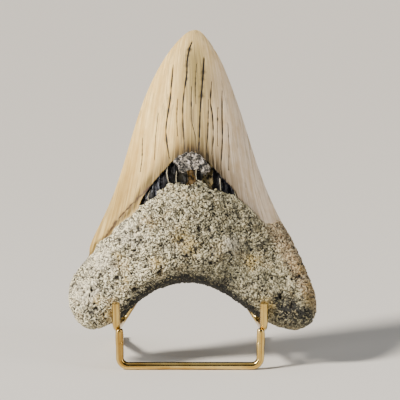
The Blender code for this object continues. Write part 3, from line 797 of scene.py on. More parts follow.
def grain_of(table_places, porous):
    """How far the grain and pores sink each point, and how hollow it looks, from 0 to 1."""
    rng = np.random.default_rng(GRAIN_SEED)
    cells = np.floor(table_places / GRAIN_SIZE).astype(int)
    _, first = np.unique(cells, axis=0, return_index=True)
    jitter = rng.uniform(-SEED_JITTER, SEED_JITTER, (len(first), 3))
    seeds = table_places[first] + jitter * GRAIN_SIZE
    level = rng.uniform(0.0, GRAIN_LEVELS, len(seeds))
    pore_radius = rng.uniform(*PORE_RADIUS, len(seeds))
    pore_depth = rng.uniform(*PORE_DEPTH, len(seeds)) * (rng.random(len(seeds)) < PORE_SHARE)
    warped = table_places + shift_at(table_places, WARP, WARP_SIZE, (53.0, 54.0, 55.0))
    nearest, away = nearest_of(seeds, warped)
    pore = pore_depth[nearest] * (1.0 - smooth_step(away / pore_radius[nearest]))
    dome = np.sqrt(np.maximum(1.0 - (away / GRAIN_RADIUS) ** 2, 0.0))
    worm = 1.0 - smooth_step(np.abs(noise_at(table_places, WORM_SIZE, 56.0)) / WORM_WIDTH)
    chewed = smooth_step(CHEWED_GAIN * noise_at(table_places, CHEWED_SIZE, 52.0) + CHEWED_BIAS)
    sink = pore + GRAIN_DEPTH * (1.0 - dome) + level[nearest] * dome + WORM_DEPTH * worm
    sink = sink + OPEN_DEEPER * porous * (pore + WORM_DEPTH * worm)
    hollow = sink * (1.0 + CHEWED_HOLLOWER * chewed) - HOLLOW_FROM + OPEN_HOLLOWER * porous
    return sink + CHEWED_DEPTH * chewed, smooth_step(hollow / HOLLOW_SPAN)


def hole_sink():
    """Depth of the holes that were placed one by one, on the display face."""
    ragged = places[:, :2] + shift_at(places[:, :2], HOLE_RAGGED, HOLE_RAGGED_SIZE, (57.0, 58.0))
    sink = np.zeros(len(places))
    for place, radius, depth in HOLES:
        gap = ragged - np.array(place)
        squared = (gap * gap).sum(1) / (HOLE_RADIUS_SHARE * radius) ** 2
        sink = np.maximum(sink, depth * np.maximum(1.0 - squared, 0.0) ** HOLE_WALL)
    return sink * on_face


def spot_at(centre, reach):
    """A soft spot on the tooth: 1 at its centre, fading over its reach across and along."""
    return fading(u - centre[0], reach[0]) * fading(v - centre[1], reach[1])


table_places = to_table(u, v, w)
on_the_root = smooth_step(masks["depth"] / GRAIN_BEGINS_OVER) * (1.0 - masks["sunk"])
sink, hollow = grain_of(table_places, spot_at(OPEN_CENTRE, OPEN_REACH) * on_face)
holes = hole_sink()
touch = np.min(np.linalg.norm(table_places[:, None, :] - CONTACTS[None], axis=2), axis=1)
free_of_wires = rising(touch, *GRAIN_RETURNS)
grain_share = GRAIN_AT_WIRES + (1.0 - GRAIN_AT_WIRES) * free_of_wires
sink = (sink + HOLE_DEPTH_SHARE * holes) * on_the_root * grain_share
hollow = np.maximum(hollow, np.clip(holes / DARK_HOLE_DEPTH, 0.0, 1.0)) * on_the_root
from_rim = distance_to_line(places[:, :2], outline, True)
calm = RIM_CALM + (1.0 - RIM_CALM) * smooth_step(from_rim / RIM_CALM_WIDTH)
lift = (GRAIN_LIFT * on_the_root * free_of_wires - sink) * calm
table_places = table_places + normals_of(table_places, triangles) * lift[:, None]
low, high = (np.array(corner) / MM for corner in model_box)
table_places = np.clip(table_places, low + BOX_MARGIN, high - BOX_MARGIN)
print("the grain moves the surface by", round(float(lift.min()), 2), "to", round(float(lift.max()), 2), "mm")

# %% [markdown]
# Numbers that the finishes read
#
# A procedural material has no picture to look things up in. What it needs to know about a place,
# such as how close it lies to the iron stain, is measured once here and stored with the mesh's
# points, and it moves with them. The flow numbers are the place on the tooth, squeezed sideways
# so that the enamel's grain runs together towards the tip as it does on a real crown.

# %% The tooth's object
CUTTING_EDGE_FROM_V = 32.0


def store(piece, name, *columns):
    """Stores one number or three for each point of a piece, under a name."""
    kind, field = ("FLOAT", "value") if len(columns) == 1 else ("FLOAT_VECTOR", "vector")
    numbers = np.column_stack(columns).astype(np.float32).ravel()
    piece.data.attributes.new(name, kind, "POINT").data.foreach_set(field, numbers)


def add_piece(name, corners, faces):
    """A smooth-shaded object in metres from corners in millimetres."""
    mesh = bpy.data.meshes.new(name)
    mesh.from_pydata((corners * MM).tolist(), [], faces)
    mesh.shade_smooth()
    piece = bpy.data.objects.new(name, mesh)
    bpy.context.collection.objects.link(piece)
    return piece


tooth = add_piece("tooth_fossil", table_places, triangles.tolist())
tooth.data.polygons.foreach_set("material_index", surfaces.astype(np.int32))
ends = np.empty(2 * len(tooth.data.edges), np.int32)
tooth.data.edges.foreach_get("vertices", ends)
ends = ends.reshape(-1, 2)
on_rim = (ends < len(rim)).all(1) & np.isin(np.abs(ends[:, 0] - ends[:, 1]), (1, len(rim) - 1))
cutting = on_rim & (v[ends[:, 0]] > CUTTING_EDGE_FROM_V)
tooth.data.attributes.new("sharp_edge", "BOOLEAN", "EDGE").data.foreach_set("value", cutting)
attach(tooth, "root")
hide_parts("tooth")
print("triangles by surface, enamel, root, band and crust:", np.bincount(surfaces))

# %% Numbers for the enamel and the root
# Place and radius of each dark patch, ochre patch and patch of pale lime on the root's display face. The
# dark patches are silt, and on the lower right lobe beside the hook they are painted shade.
SILT_AND_SHADE_PATCHES = [
    ((40.5, 7.0), 7.0), ((46.4, 5.0), 4.6), ((35.6, 11.6), 3.6), ((22.2, 44.8), 2.6),
    ((26.6, 41.2), 2.4), ((18.4, 48.4), 2.2), ((13.6, 52.0), 1.6), ((-21.7, 14.7), 1.8),
    ((-40.9, 6.2), 2.4), ((15.5, 18.5), 3.4), ((-17.6, 26.3), 1.8), ((-22.6, 32.8), 1.3),
    ((-7.3, 32.9), 1.5), ((24.0, 33.0), 3.0), ((29.0, 34.0), 2.4),
]
OCHRE_PATCHES = [
    ((24.6, 26.7), 2.8), ((31.8, 9.3), 3.0), ((-0.4, 32.1), 3.6), ((-31.9, 5.0), 2.4), ((-27.0, 19.9), 1.4),
    ((-4.1, 36.0), 3.0), ((49.3, 17.8), 2.6), ((48.2, 11.0), 2.6), ((46.6, 25.0), 2.4), ((-13.4, 25.7), 2.6),
    ((-30.1, 29.3), 1.6), ((-37.6, 10.9), 2.0),
]
PALE_PATCHES = [((17.1, 33.0), 3.2), ((-37.2, 27.3), 6.0), ((-24.7, 37.2), 5.0), ((-43.0, 14.0), 6.0)]

# A dark patch smaller than this is weaker too.
FULL_DARK_PATCH_RADIUS = 5.0
# Along the margin: how strong the tan is, how far above the margin it lies, and how wide it is.
TAN_U = [-34.0, -26.0, -20.0, -13.0, -5.0, 1.0]
TAN_STRENGTH = [0.86, 0.93, 0.92, 0.88, 0.66, 0.0]
TAN_HEIGHT = [0.5, 1.7, 2.2, 0.5, 0.0, 0.0]
TAN_WIDTH = [1.2, 1.6, 2.2, 5.0, 4.0, 4.0]
# The same for the umber, and how dark the very edge is.
UMBER_U = [-11.0, -5.0, 0.0, 4.4, 8.0, 12.4, 19.0, 27.0, 32.0]
UMBER_STRENGTH = [0.0, 0.88, 0.96, 1.0, 1.0, 0.92, 0.55, 0.50, 0.15]
UMBER_SPREAD = [4.0, 6.0, 7.4, 8.6, 7.8, 6.2, 9.0, 4.4, 3.0]
EDGE_STRENGTH = [0.2, 0.75, 0.7, 0.75, 0.95, 1.0, 0.9, 0.5, 0.15]
# Width of the iron line, and strength of the tan that covers the crown's lower left.
IRON_WIDTH, LEFT_TAN = 0.62, 0.46
# Centre and reach of the rust at the band's middle and of the grey on the crown's right.
RUST_SPOT, GREYED_SPOT = ((-1.0, 73.5), (5.0, 2.2)), ((9.0, 102.0), (4.0, 8.0))
# Half width of the ochre along the crown's middle, and how much narrower it gets up there.
OCHRE_WIDTH, OCHRE_NARROWING = 7.0, 1.4
# Strength and reach of the painted shade on the underside of the arch: a wide one, from a little inside, and
# the rim.
ARCH_SHADE, ARCH_SHADE_FROM, ARCH_SHADE_REACH = 0.56, 1.2, 3.0
ARCH_RIM_SHADE, ARCH_RIM_REACH = 1.3, 1.7


def patches_at(patches, full_radius=TINY):
    """Strength of the nearest patch at each point of the face, weaker where it is smaller than full."""
    ragged = places[:, :2] + shift_at(places[:, :2], 1.3, 3.0, (62.0, 63.0))
    strength = np.zeros(len(places))
    for place, radius in patches:
        gap = ragged - np.array(place)
        peak = min(1.0, radius / full_radius)
        strength = np.maximum(strength, peak * np.exp(-(gap * gap).sum(1) / radius ** 2))
    return strength * on_face


# The crown's half width at its foot, which the squeeze is measured against.
FOOT_HALF_WIDTH = 28.0

_, half_width = crown_section(places[:, :2])
squeeze = (half_width / FOOT_HALF_WIDTH + 0.15) ** 0.6
above_margin = np.maximum(-masks["depth"], 0.0)
rightness = rising(u, -10.0, 34.0)
stain_width = IRON_WIDTH * (1.0 + 0.5 * noise_at(places[:, :2], 2.5, 61.0))
stain_wear = np.clip(0.8 + 0.5 * noise_at(places[:, :2], 1.4, 64.0), 0.3, 1.0)
iron = fading(distance_to_line(places[:, :2], iron_line), stain_width) * stain_wear * on_face
tan_at = partial(np.interp, u, TAN_U)
tan = tan_at(TAN_STRENGTH) * fading(above_margin - tan_at(TAN_HEIGHT), tan_at(TAN_WIDTH)) * on_face
tan = np.maximum(tan, LEFT_TAN * rising(v, 80.0, -32.0) * (1.0 - rightness))
umber_at = partial(np.interp, u, UMBER_U)
umber = umber_at(UMBER_STRENGTH) * fading(above_margin, umber_at(UMBER_SPREAD), 1.5)
umber = np.maximum(umber, umber_at(EDGE_STRENGTH) * fading(above_margin, 1.1)) * on_face
rust = spot_at(*RUST_SPOT) * on_face
ochre_spread = OCHRE_WIDTH - OCHRE_NARROWING * rising(v, 92.0, 20.0)
ochre = fading(u - 0.36 * ochre_spread, ochre_spread) * rising(v, 66.0, 12.0) * on_face
ochre = ochre * (0.7 + 0.3 * rising(v, 92.0, 12.0)) * (1.0 - 0.55 * rising(v, 114.0, 10.0))
greyed = spot_at(*GREYED_SPOT) * on_face
# Painted shade: the root is painted darker along the underside of the arch, and darkest at its rim.
arch_u, arch_v = zip((-30.0, 3.5), *ARCH[::-1], (30.0, 4.0))
above_arch = np.maximum(v - np.interp(u, arch_u, arch_v), 0.0)
beyond_rim = np.maximum(above_arch - ARCH_SHADE_FROM, 0.0)
arch_painted_shade = ARCH_SHADE * fading(beyond_rim, ARCH_SHADE_REACH, 1.5)
arch_painted_shade = arch_painted_shade + ARCH_RIM_SHADE * fading(above_arch, ARCH_RIM_REACH)
arch_painted_shade = arch_painted_shade * rising(np.abs(u), 32.0, -6.0)
# Dark patches: silt, and painted shade on the lower right lobe beside the hook.
silt_and_shade = patches_at(SILT_AND_SHADE_PATCHES, FULL_DARK_PATCH_RADIUS)
ochre_soak, lime = patches_at(OCHRE_PATCHES), patches_at(PALE_PATCHES)
STORED = {
    "flow": (u / squeeze, v, w), "place": (u, v, w), "hollow": (hollow,), "greyed": (greyed,),
    "crack": (masks["crack"],), "vein": (masks["vein"],),
    "stain": (iron, tan, umber), "warmth": (rust, ochre, rightness),
    "shade": (arch_painted_shade, silt_and_shade, rising(u, -32.0, 52.0)),
    "soak": (ochre_soak, lime, rising(u - 0.55 * (60.0 - v), 18.0, 6.0)),
}
for name, columns in STORED.items():
    store(tooth, name, *columns)
print("share of the tooth that is stained by iron:", round(float((iron > 0.5).mean()), 4))

# %% [markdown]
# Making materials
#
# One small helper adds a node and gives back its output, so a finish reads as a short list of
# patterns and layers. Inputs are given by name, or in the node's own order where that is plain.
# Two habits return in each finish: the paint is darkened where a pattern is low, and stains are
# laid over it as strongly as their masks say. Colours are written as the sRGB codes that a colour
# picker shows and turned to the linear values that light adds up in. The scale of a pattern is
# one over its size, in metres for the object's own coordinates and in mm for the stored places.

# %% Helpers for materials
# A colour mix's share, lower colour and upper colour among its inputs, and its result.
SHARE, LOWER, UPPER, MIXED = 0, 6, 7, 2


def colour(code):
    """A linear colour from an sRGB hex code."""
    parts = [int(code[k:k + 2], 16) / 255.0 for k in (0, 2, 4)]
    return [p / 12.92 if p <= 0.04045 else ((p + 0.055) / 1.055) ** 2.4 for p in parts] + [1.0]


def set_inputs(node, inputs):
    """Gives a node's inputs, by name or in their own order, values or other nodes' outputs."""
    for name, value in inputs.items() if isinstance(inputs, dict) else enumerate(inputs):
        if isinstance(value, bpy.types.NodeSocket):
            node.id_data.links.new(value, node.inputs[name])
        else:
            node.inputs[name].default_value = value


def add_node(tree, kind, output, inputs=(), stops=(), **settings):
    """An output of a new node with its settings, inputs and colour stops, or all outputs for None."""
    made = tree.nodes.new("ShaderNode" + kind)
    for name, value in settings.items():
        setattr(made, name, value)
    set_inputs(made, inputs)
    if stops:
        elements = made.color_ramp.elements
        for place, _ in stops[2:]:
            elements.new(place)
        for element, (place, code) in zip(elements, stops):
            element.position, element.color = place, colour(code)
    return made.outputs if output is None else made.outputs[output]


def new_material(name):
    """A material, the helper that adds nodes to it, and its principled shader."""
    material = bpy.data.materials.new(name)
    material.use_nodes = True
    return material, partial(add_node, material.node_tree), material.node_tree.nodes["Principled BSDF"]


def darkened(add, paint, strength, pattern, dark_at, dark, clear_at):
    """The paint multiplied by a colour where a pattern is low, and left clear where it is high."""
    shades = add("ValToRGB", "Color", [pattern], stops=[(dark_at, dark), (clear_at, "ffffff")])
    mix = {SHARE: strength, LOWER: paint, UPPER: shades}
    return add("Mix", MIXED, mix, data_type="RGBA", blend_type="MULTIPLY")


def laid_over(add, paint, layers):
    """The paint under layers of colour, each with its strength times its masks."""
    for strength, code, *masks in layers:
        share = strength
        for mask in masks:
            share = add("Math", "Value", [share, mask], operation="MULTIPLY")
        paint = add("Mix", MIXED, {SHARE: share, LOWER: paint, UPPER: colour(code)}, data_type="RGBA")
    return paint


def per_metre(size_mm):
    """Scale of a pattern that repeats every size_mm, for coordinates in metres."""
    return 1.0 / (size_mm * MM)


print("cream in linear light:", [round(c, 3) for c in colour("e0cfb6")])

# %% [markdown]
# Enamel
#
# Fossil enamel is a hard, dense skin of long crystals that run from root to tip. Mineral-rich mud
# has stained it cream, and its grain shows as fine streaks because some crystals took up more
# colour. Long burial has dulled it from gloss to a soft satin, so its roughness is 0.5 to 0.7. The
# right side is greyer than the left one, and stains run from tan to umber along the root's edge.

# %% Fossil enamel
enamel, add, shader = new_material("fossil_enamel")
flow = add("Attribute", "Vector", attribute_name="flow")
crack, greyed = (add("Attribute", "Fac", attribute_name=name) for name in ("crack", "greyed"))
warmth, stain = (
    add("SeparateXYZ", None, [add("Attribute", "Vector", attribute_name=name)])
    for name in ("warmth", "stain")
)
# Each pattern's size across and along in mm, its scale through the tooth, its detail and roughness.
STREAKS = {
    "fine": (0.55, 26.0, 0.12, 3.0, 0.55), "broad": (2.6, 60.0, 0.12, 2.0, 0.5),
    "mottled": (2.4, 6.0, 0.12, 4.0, 0.6), "hair": (1.6, 46.0, 0.1, 1.0, 0.5),
}
grain = {}
for name, (across_mm, along_mm, through, detail, roughness) in STREAKS.items():
    scale = (1.0 / across_mm, 1.0 / along_mm, through)
    stretched = add("Mapping", "Vector", {"Vector": flow, "Scale": scale})
    noise_inputs = {"Vector": stretched, "Scale": 1.0, "Detail": detail, "Roughness": roughness}
    grain[name] = add("TexNoise", "Fac", noise_inputs)
paint = add("ValToRGB", "Color", [warmth["Z"]], stops=[(0.0, "fddd94"), (1.0, "e3d3c0")])
# The right side is bleached, so the broad streaks show most on the left one.
unbleached = add("MapRange", "Result", [warmth["Z"], 0.0, 1.0, 0.8, 0.25])
paint = darkened(add, paint, 0.8, grain["fine"], 0.36, "e9dfca", 0.58)
paint = darkened(add, paint, unbleached, grain["broad"], 0.38, "ddd6c4", 0.60)
paint = darkened(add, paint, 0.6, grain["mottled"], 0.34, "e6dac2", 0.60)
streaky = add("MapRange", "Result", [grain["fine"], 0.62, 0.42, 0.80, 1.18])
# Hair cracks run where their pattern crosses one value. They come and go with the broad streaks,
# and are weaker at the sides.
hair = add("Math", "Value", [grain["hair"], 0.5, 0.026], operation="COMPARE")
hair_fade = add("MapRange", "Result", [grain["broad"], 0.42, 0.56, 0.0, 0.75])
central = add("MapRange", "Result", [warmth["Y"], 0.0, 1.0, 0.5, 1.0])
# Grey clay, ochre, rust, tan, umber and the iron line, then hair cracks and cracks.
paint = laid_over(add, paint, [
    (0.42, "8a7c6a", greyed, streaky), (0.97, "93814f", warmth["Y"], streaky),
    (0.6, "a87a3e", warmth["X"], streaky), (1.0, "5e4a0e", stain["Y"], streaky),
    (1.0, "2a200e", stain["Z"], streaky), (1.25, "3a2208", stain["X"]),
    (1.0, "75644a", hair, hair_fade, central), (1.5, "120c07", crack),
])
gloss = add("MapRange", "Result", [grain["broad"], 0.0, 1.0, 0.50, 0.68])
ridges = add("Bump", "Normal", {"Height": grain["fine"], "Strength": 0.25, "Distance": 0.25 * MM})
set_inputs(shader, {"Base Color": paint, "Specular IOR Level": 0.3, "Roughness": gloss, "Normal": ridges})
print("enamel streaks, across by along in mm:", {name: sizes[:2] for name, sizes in STREAKS.items()})

# %% [markdown]
# Root
#
# The root was spongy dentine, now stone. Its grains are cream to grey, each a little different,
# and the pores hold dark silt. Patches of ochre and olive mark where iron and clay have soaked
# in, and dark silt lies in patches. The underside of the arch and the lower right lobe beside the
# hook are darkened with painted shade. It's dry and chalky, with a roughness of 0.8 or more.

# %% Weathered root
# Sizes in mm of the specks, the ochre patches and the clay.
SPECK_SIZE, OCHRE_SIZE, CLAY_SIZE = 0.62, 9.0, 15.0
root, add, shader = new_material("weathered_root")
spot = add("TexCoord", "Object")
hollowness = add("Attribute", "Fac", attribute_name="hollow")
shade, soak = (
    add("SeparateXYZ", None, [add("Attribute", "Vector", attribute_name=name)])
    for name in ("shade", "soak")
)
grains = add("TexVoronoi", "Color", {"Vector": spot, "Scale": per_metre(SPECK_SIZE)})
grains = add("SeparateColor", "Red", [grains])
fine, patch, clay = (
    add("TexNoise", "Fac", {"Vector": spot, "Scale": per_metre(size), "Detail": detail})
    for size, detail in ((SPECK_SIZE, 3.0), (OCHRE_SIZE, 3.0), (CLAY_SIZE, 4.0))
)
paint = add("ValToRGB", "Color", [grains], stops=[
    (0.0, "2e281c"), (0.26, "8c8268"), (0.42, "efe6c4"), (0.70, "fffad8"), (1.0, "f2e2aa"),
])
paint = darkened(add, paint, 0.92, fine, 0.42, "14110b", 0.50)
ochre_patch = add("MapRange", "Result", [patch, 0.55, 0.72, 0.0, 1.0])
olive_patch = add("MapRange", "Result", [clay, 0.50, 0.68, 0.0, 1.0])
# Silt and the painted shade hide the dark grains first, and the palest still show through them.
silt_and_shade_cover = add("MapRange", "Result", [grains, 0.60, 0.88, 1.0, 0.36])
# Olive tone, ochre, clay, lime, ochre stains, a warm tan towards the right edge, dark silt with
# painted shade on the lower right lobe, painted shade on the arch's underside, and last the pores.
paint = laid_over(add, paint, [
    (0.52, "6a6448", shade["Z"]), (0.40, "b0935a", ochre_patch), (0.40, "8a866a", olive_patch),
    (0.45, "fff6dd", soak["Y"]), (0.44, "c9a850", soak["X"]), (0.25, "b98a63", soak["Z"]),
    (1.35, "1e1e18", shade["Y"], silt_and_shade_cover), (1.25, "0e100b", shade["X"], silt_and_shade_cover), (0.95, "100d09", hollowness),
])
dust = add("MapRange", "Result", [fine, 0.0, 1.0, 0.78, 0.95])
rough_skin = add("Bump", "Normal", {"Height": fine, "Strength": 0.7, "Distance": 0.5 * MM})
set_inputs(shader, {"Base Color": paint, "Roughness": dust, "Normal": rough_skin})
print("root specks, ochre patches and clay in mm:", SPECK_SIZE, OCHRE_SIZE, CLAY_SIZE)

# %% [markdown]
# Band and crust
#
# The band between enamel and root wears away first, and what is left is nearly black mineral in
# upright columns. Manganese gives the blue-black ones and iron the amber and olive ones. It
# reflects little, so it stays dark, and its fibres catch what light there is. The crust above it
# is lime mortar that the sea floor left, light grey with pinkish-white and black grains of sand.

# %% Dark band
COLUMN_TINTS = [
    (-22.0, "241f1a"), (-18.8, "2b2c2c"), (-15.2, "3b3d44"), (-12.7, "0f0f13"), (-9.3, "060504"),
    (-5.7, "15130a"), (-1.1, "4e3a14"), (2.4, "0d0b06"), (5.1, "64583a"), (9.3, "09090d"), (12.5, "3a3832"),
    (13.1, "0b0d16"), (16.0, "17181f"),
]
BAND_FROM_U, BAND_SPAN_U = -22.0, 42.0
dark_band, add, shader = new_material("dark_band")
place = add("Attribute", "Vector", attribute_name="place")
vein = add("Attribute", "Fac", attribute_name="vein")
wander, blotches = (
    add("TexNoise", "Fac", {"Vector": place, "Scale": 1.0 / size, "Detail": 3.0}) for size in (1.8, 1.3)
)
wander = add("Math", "Value", [wander, 2.4, -1.2], operation="MULTIPLY_ADD")
across = add("Math", "Value", [add("SeparateXYZ", "X", [place]), wander], operation="ADD")
across = add("MapRange", "Result", [across, BAND_FROM_U, BAND_FROM_U + BAND_SPAN_U, 0.0, 1.0])
stops = [((at - BAND_FROM_U) / BAND_SPAN_U, code) for at, code in COLUMN_TINTS]
paint = add("ValToRGB", "Color", [across], stops)
paint.node.color_ramp.interpolation = "CONSTANT"
upright = add("Mapping", "Vector", {"Vector": place, "Scale": (1.0 / 0.5, 1.0 / 3.5, 0.3)})
fibres = add("TexNoise", "Fac", {"Vector": upright, "Scale": 1.0, "Detail": 4.0})
flakes_and_painted_glint = add("MapRange", "Result", [fibres, 0.56, 0.70, 0.0, 1.0])
leftness = add("MapRange", "Result", [across, 0.18, 0.30, 1.0, 0.2])
# The blue-grey laid over the left columns is a painted glint of their flakes.
paint = laid_over(add, paint, [(1.0, "969aa6", flakes_and_painted_glint, leftness)])
paint = darkened(add, paint, 1.0, blotches, 0.38, "343434", 0.58)
paint = laid_over(add, paint, [(1.0, "cfc5aa", vein)])
sheen = add("MapRange", "Result", [fibres, 0.0, 1.0, 0.3, 0.7])
fluting = add("Bump", "Normal", {"Height": fibres, "Strength": 0.8, "Distance": 0.5 * MM})
set_inputs(shader, {"Base Color": paint, "Specular IOR Level": 0.12, "Roughness": sheen, "Normal": fluting})
print("tints along the band:", len(COLUMN_TINTS))

# %% Mottled crust
SAND_SIZE, CEMENT_SIZE = 0.8, 1.4
crust_stone, add, shader = new_material("mottled_crust")
spot = add("TexCoord", "Object")
sand = add("TexVoronoi", "Color", {"Vector": spot, "Scale": per_metre(SAND_SIZE)})
cement = add("TexNoise", "Fac", {"Vector": spot, "Scale": per_metre(CEMENT_SIZE), "Detail": 3.0})
paint = add("ValToRGB", "Color", [add("SeparateColor", "Red", [sand])], stops=[
    (0.0, "0e0d0c"), (0.3, "3f3c37"), (0.5, "726d63"), (0.75, "958c80"), (1.0, "c4bab2"),
])
paint = darkened(add, paint, 0.9, cement, 0.40, "1a1816", 0.52)
dryness = add("MapRange", "Result", [cement, 0.0, 1.0, 0.6, 0.9])
gritty = add("Bump", "Normal", {"Height": cement, "Strength": 0.8, "Distance": 0.5 * MM})
set_inputs(shader, {"Base Color": paint, "Roughness": dryness, "Normal": gritty})
for material in (enamel, root, dark_band, crust_stone):
    tooth.data.materials.append(material)
print("materials of the tooth:", [material.name for material in tooth.data.materials])

# %% [markdown]
# Brass wires
#
# The stand is two lengths of round brass wire, about 3.2 mm thick, bent over a former and brazed
# together. One stands on the table as the base, with its bar in front and two legs behind. The
# other is a cradle: two upright hooks that hold the root's lobes and a V that rises behind the
# tooth to lean it on. A tube swept along a bent line is all they need. Its rings follow the path
# without twisting, and the ends are cut flat with a touch of a file.

# %% Sweeping a wire
WIRE_RADIUS = 1.6
TUBE_SIDES, TUBE_STEP, BEND_STEPS = 40, 3.0, 16
END_CHAMFER = 0.22
SHARP_ANGLE = math.radians(40.0)


def bent_line(corners, bends):
    """A line through the corners, each inner one rounded to an arc with its bend radius."""
    corners = [np.array(corner, float) for corner in corners]
    line = [corners[0]]
    for before, corner, after, bend in zip(corners, corners[1:], corners[2:], bends):
        towards_before = (before - corner) / np.linalg.norm(before - corner)
        towards_after = (after - corner) / np.linalg.norm(after - corner)
        half_angle = 0.5 * math.acos(float(np.clip(towards_before @ towards_after, -1.0, 1.0)))
        middle = towards_before + towards_after
        centre = corner + middle / np.linalg.norm(middle) * bend / math.sin(half_angle)
        start = corner + towards_before * bend / math.tan(half_angle)
        turn = math.pi - 2.0 * half_angle
        first = (start - centre) / bend
        second = -towards_before
        for t in np.linspace(0.0, turn, BEND_STEPS + 1):
            line.append(centre + bend * (math.cos(t) * first + math.sin(t) * second))
    line.append(corners[-1])
    return np.array(line)


def straights_filled(line):
    """The line with extra points on its long straights, so that rings stay evenly spaced."""
    filled = [line[0]]
    for a, b in zip(line, line[1:]):
        parts = max(1, int(np.linalg.norm(b - a) / TUBE_STEP))
        filled += [a + (b - a) * k / parts for k in range(1, parts + 1)]
    return np.array(filled)


def tube_along(line):
    """Corners and faces of a wire with slightly filed ends, and its lengths for the finish."""
    tangents = np.gradient(line, axis=0)
    tangents /= np.linalg.norm(tangents, axis=1)[:, None]
    lengths = np.concatenate([[0.0], np.cumsum(np.linalg.norm(np.diff(line, axis=0), axis=1))])
    side = np.cross(tangents[0], (0.0, 1.0, 0.0))
    sides = []
    for tangent in tangents:
        side = side - (side @ tangent) * tangent
        side /= np.linalg.norm(side)
        sides.append(side)
    # Each end has two rings: a narrower one at the very end, and one where the filing stops.
    order = np.array([0, *range(len(line)), len(line) - 1])
    inset, radii = np.zeros(len(order)), np.full(len(order), WIRE_RADIUS)
    inset[[1, -2]] = END_CHAMFER, -END_CHAMFER
    radii[[0, -1]] -= END_CHAMFER
    places, across = line[order] + tangents[order] * inset[:, None], np.array(sides)[order]
    up = np.cross(tangents[order], across)
    angles = np.linspace(0.0, 2.0 * math.pi, TUBE_SIDES, endpoint=False)[:, None]
    spokes = np.cos(angles) * across[:, None] + np.sin(angles) * up[:, None]
    corners = places[:, None] + radii[:, None, None] * spokes
    rings = np.arange(corners.size // 3).reshape(-1, TUBE_SIDES)
    faces = []
    for a, b in zip(rings, rings[1:]):
        faces += np.stack([a, np.roll(a, -1), np.roll(b, -1), b], axis=1).tolist()
    faces += [rings[0, ::-1].tolist(), rings[-1].tolist()]
    round_it = WIRE_RADIUS * np.tile(np.hstack([np.cos(angles), np.sin(angles)]), (len(rings), 1))
    drawn = np.column_stack([round_it, np.repeat(lengths[order] + inset, TUBE_SIDES)])
    return corners.reshape(-1, 3), faces, drawn


def add_brass(name, corners, faces, drawn):
    """A brass piece, with the lengths that its finish reads."""
    piece = add_piece(name, corners, faces)
    store(piece, "drawn", *drawn.T)
    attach(piece, "root")
    return piece


print("wire thickness in mm:", 2.0 * WIRE_RADIUS)

# %% Base and cradle
HALF_BASE = [(28.8, 0.0, 1.6), (28.8, 0.0, 14.3), (31.0, 58.0, 1.66), (31.4, 67.0, 1.66)]
BASE_BENDS = [3.5, 3.0, 3.0]
HOOK_X, HOOK_Z = 30.2, 17.1
REST_TOP_V, REST_FOOT_U, REST_W, REST_TOP_BEND = 50.0, 28.9, -7.65, 9.0
HOOK_BENDS = [5.5, 4.5]
rest_foot_v = (HOOK_Z - TOOTH_FOOT[2] - REST_W * math.sin(LEAN)) / math.cos(LEAN)
rest_top = tuple(to_table(0.0, REST_TOP_V, REST_W))
half_cradle = [
    tuple(to_table(REST_FOOT_U, rest_foot_v, REST_W)), (HOOK_X, -0.4, HOOK_Z), (HOOK_X, -1.9, 28.1),
]


def mirrored(half):
    """The other half of a symmetric line of corners, in the order that leads up to it."""
    return [(-x, y, z) for x, y, z in half[::-1]]


def wire_line(corners, bends):
    """The middle line of a wire, bent at its corners and with points all along it."""
    return straights_filled(bent_line(corners, bends))


base_line = wire_line(mirrored(HALF_BASE) + HALF_BASE, BASE_BENDS[::-1] + BASE_BENDS)
cradle_corners = mirrored(half_cradle) + [rest_top] + half_cradle
cradle_line = wire_line(cradle_corners, HOOK_BENDS[::-1] + [REST_TOP_BEND] + HOOK_BENDS)
base_corners, base_faces, base_drawn = tube_along(base_line)
base = add_brass("base_tube", base_corners, base_faces, base_drawn)
cradle = add_brass("cradle_tube", *tube_along(cradle_line))
for wire in (base, cradle):
    wire.data.set_sharp_from_angle(angle=SHARP_ANGLE)
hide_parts("base_wire")
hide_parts("cradle_wire")
print("faces of the wires:", len(base.data.polygons), len(cradle.data.polygons))

# %% [markdown]
# Braze
#
# Each hook is joined to its post with brazing brass, which ran into the gap between the two wires
# while it was liquid. What shows of it is a short upright stub behind the hook, as thick as the
# wire and blunt at both ends. A stack of rings gives that, most of it hidden in the wires. It was
# polished together with the post, so it carries the post's own streaks on.

# %% Braze beads
BEAD_CENTRE, BEAD_HALF = (28.95, 0.04, 13.3), (1.66, 1.66, 3.7)
# 1 would give a ball's roundness, and 0 a flat-ended cylinder.
BEAD_ROUNDNESS = 0.15
BEAD_RINGS, BEAD_SIDES = 20, 32
# The heights on the post between which its streaks are copied.
STREAKS_FROM_Z, STREAKS_TO_Z = 5.0, 10.6

on_post = (base_corners[:, 2] > STREAKS_FROM_Z) & (base_corners[:, 2] < STREAKS_TO_Z)
post_places, post_drawn = base_corners[on_post], base_drawn[on_post]


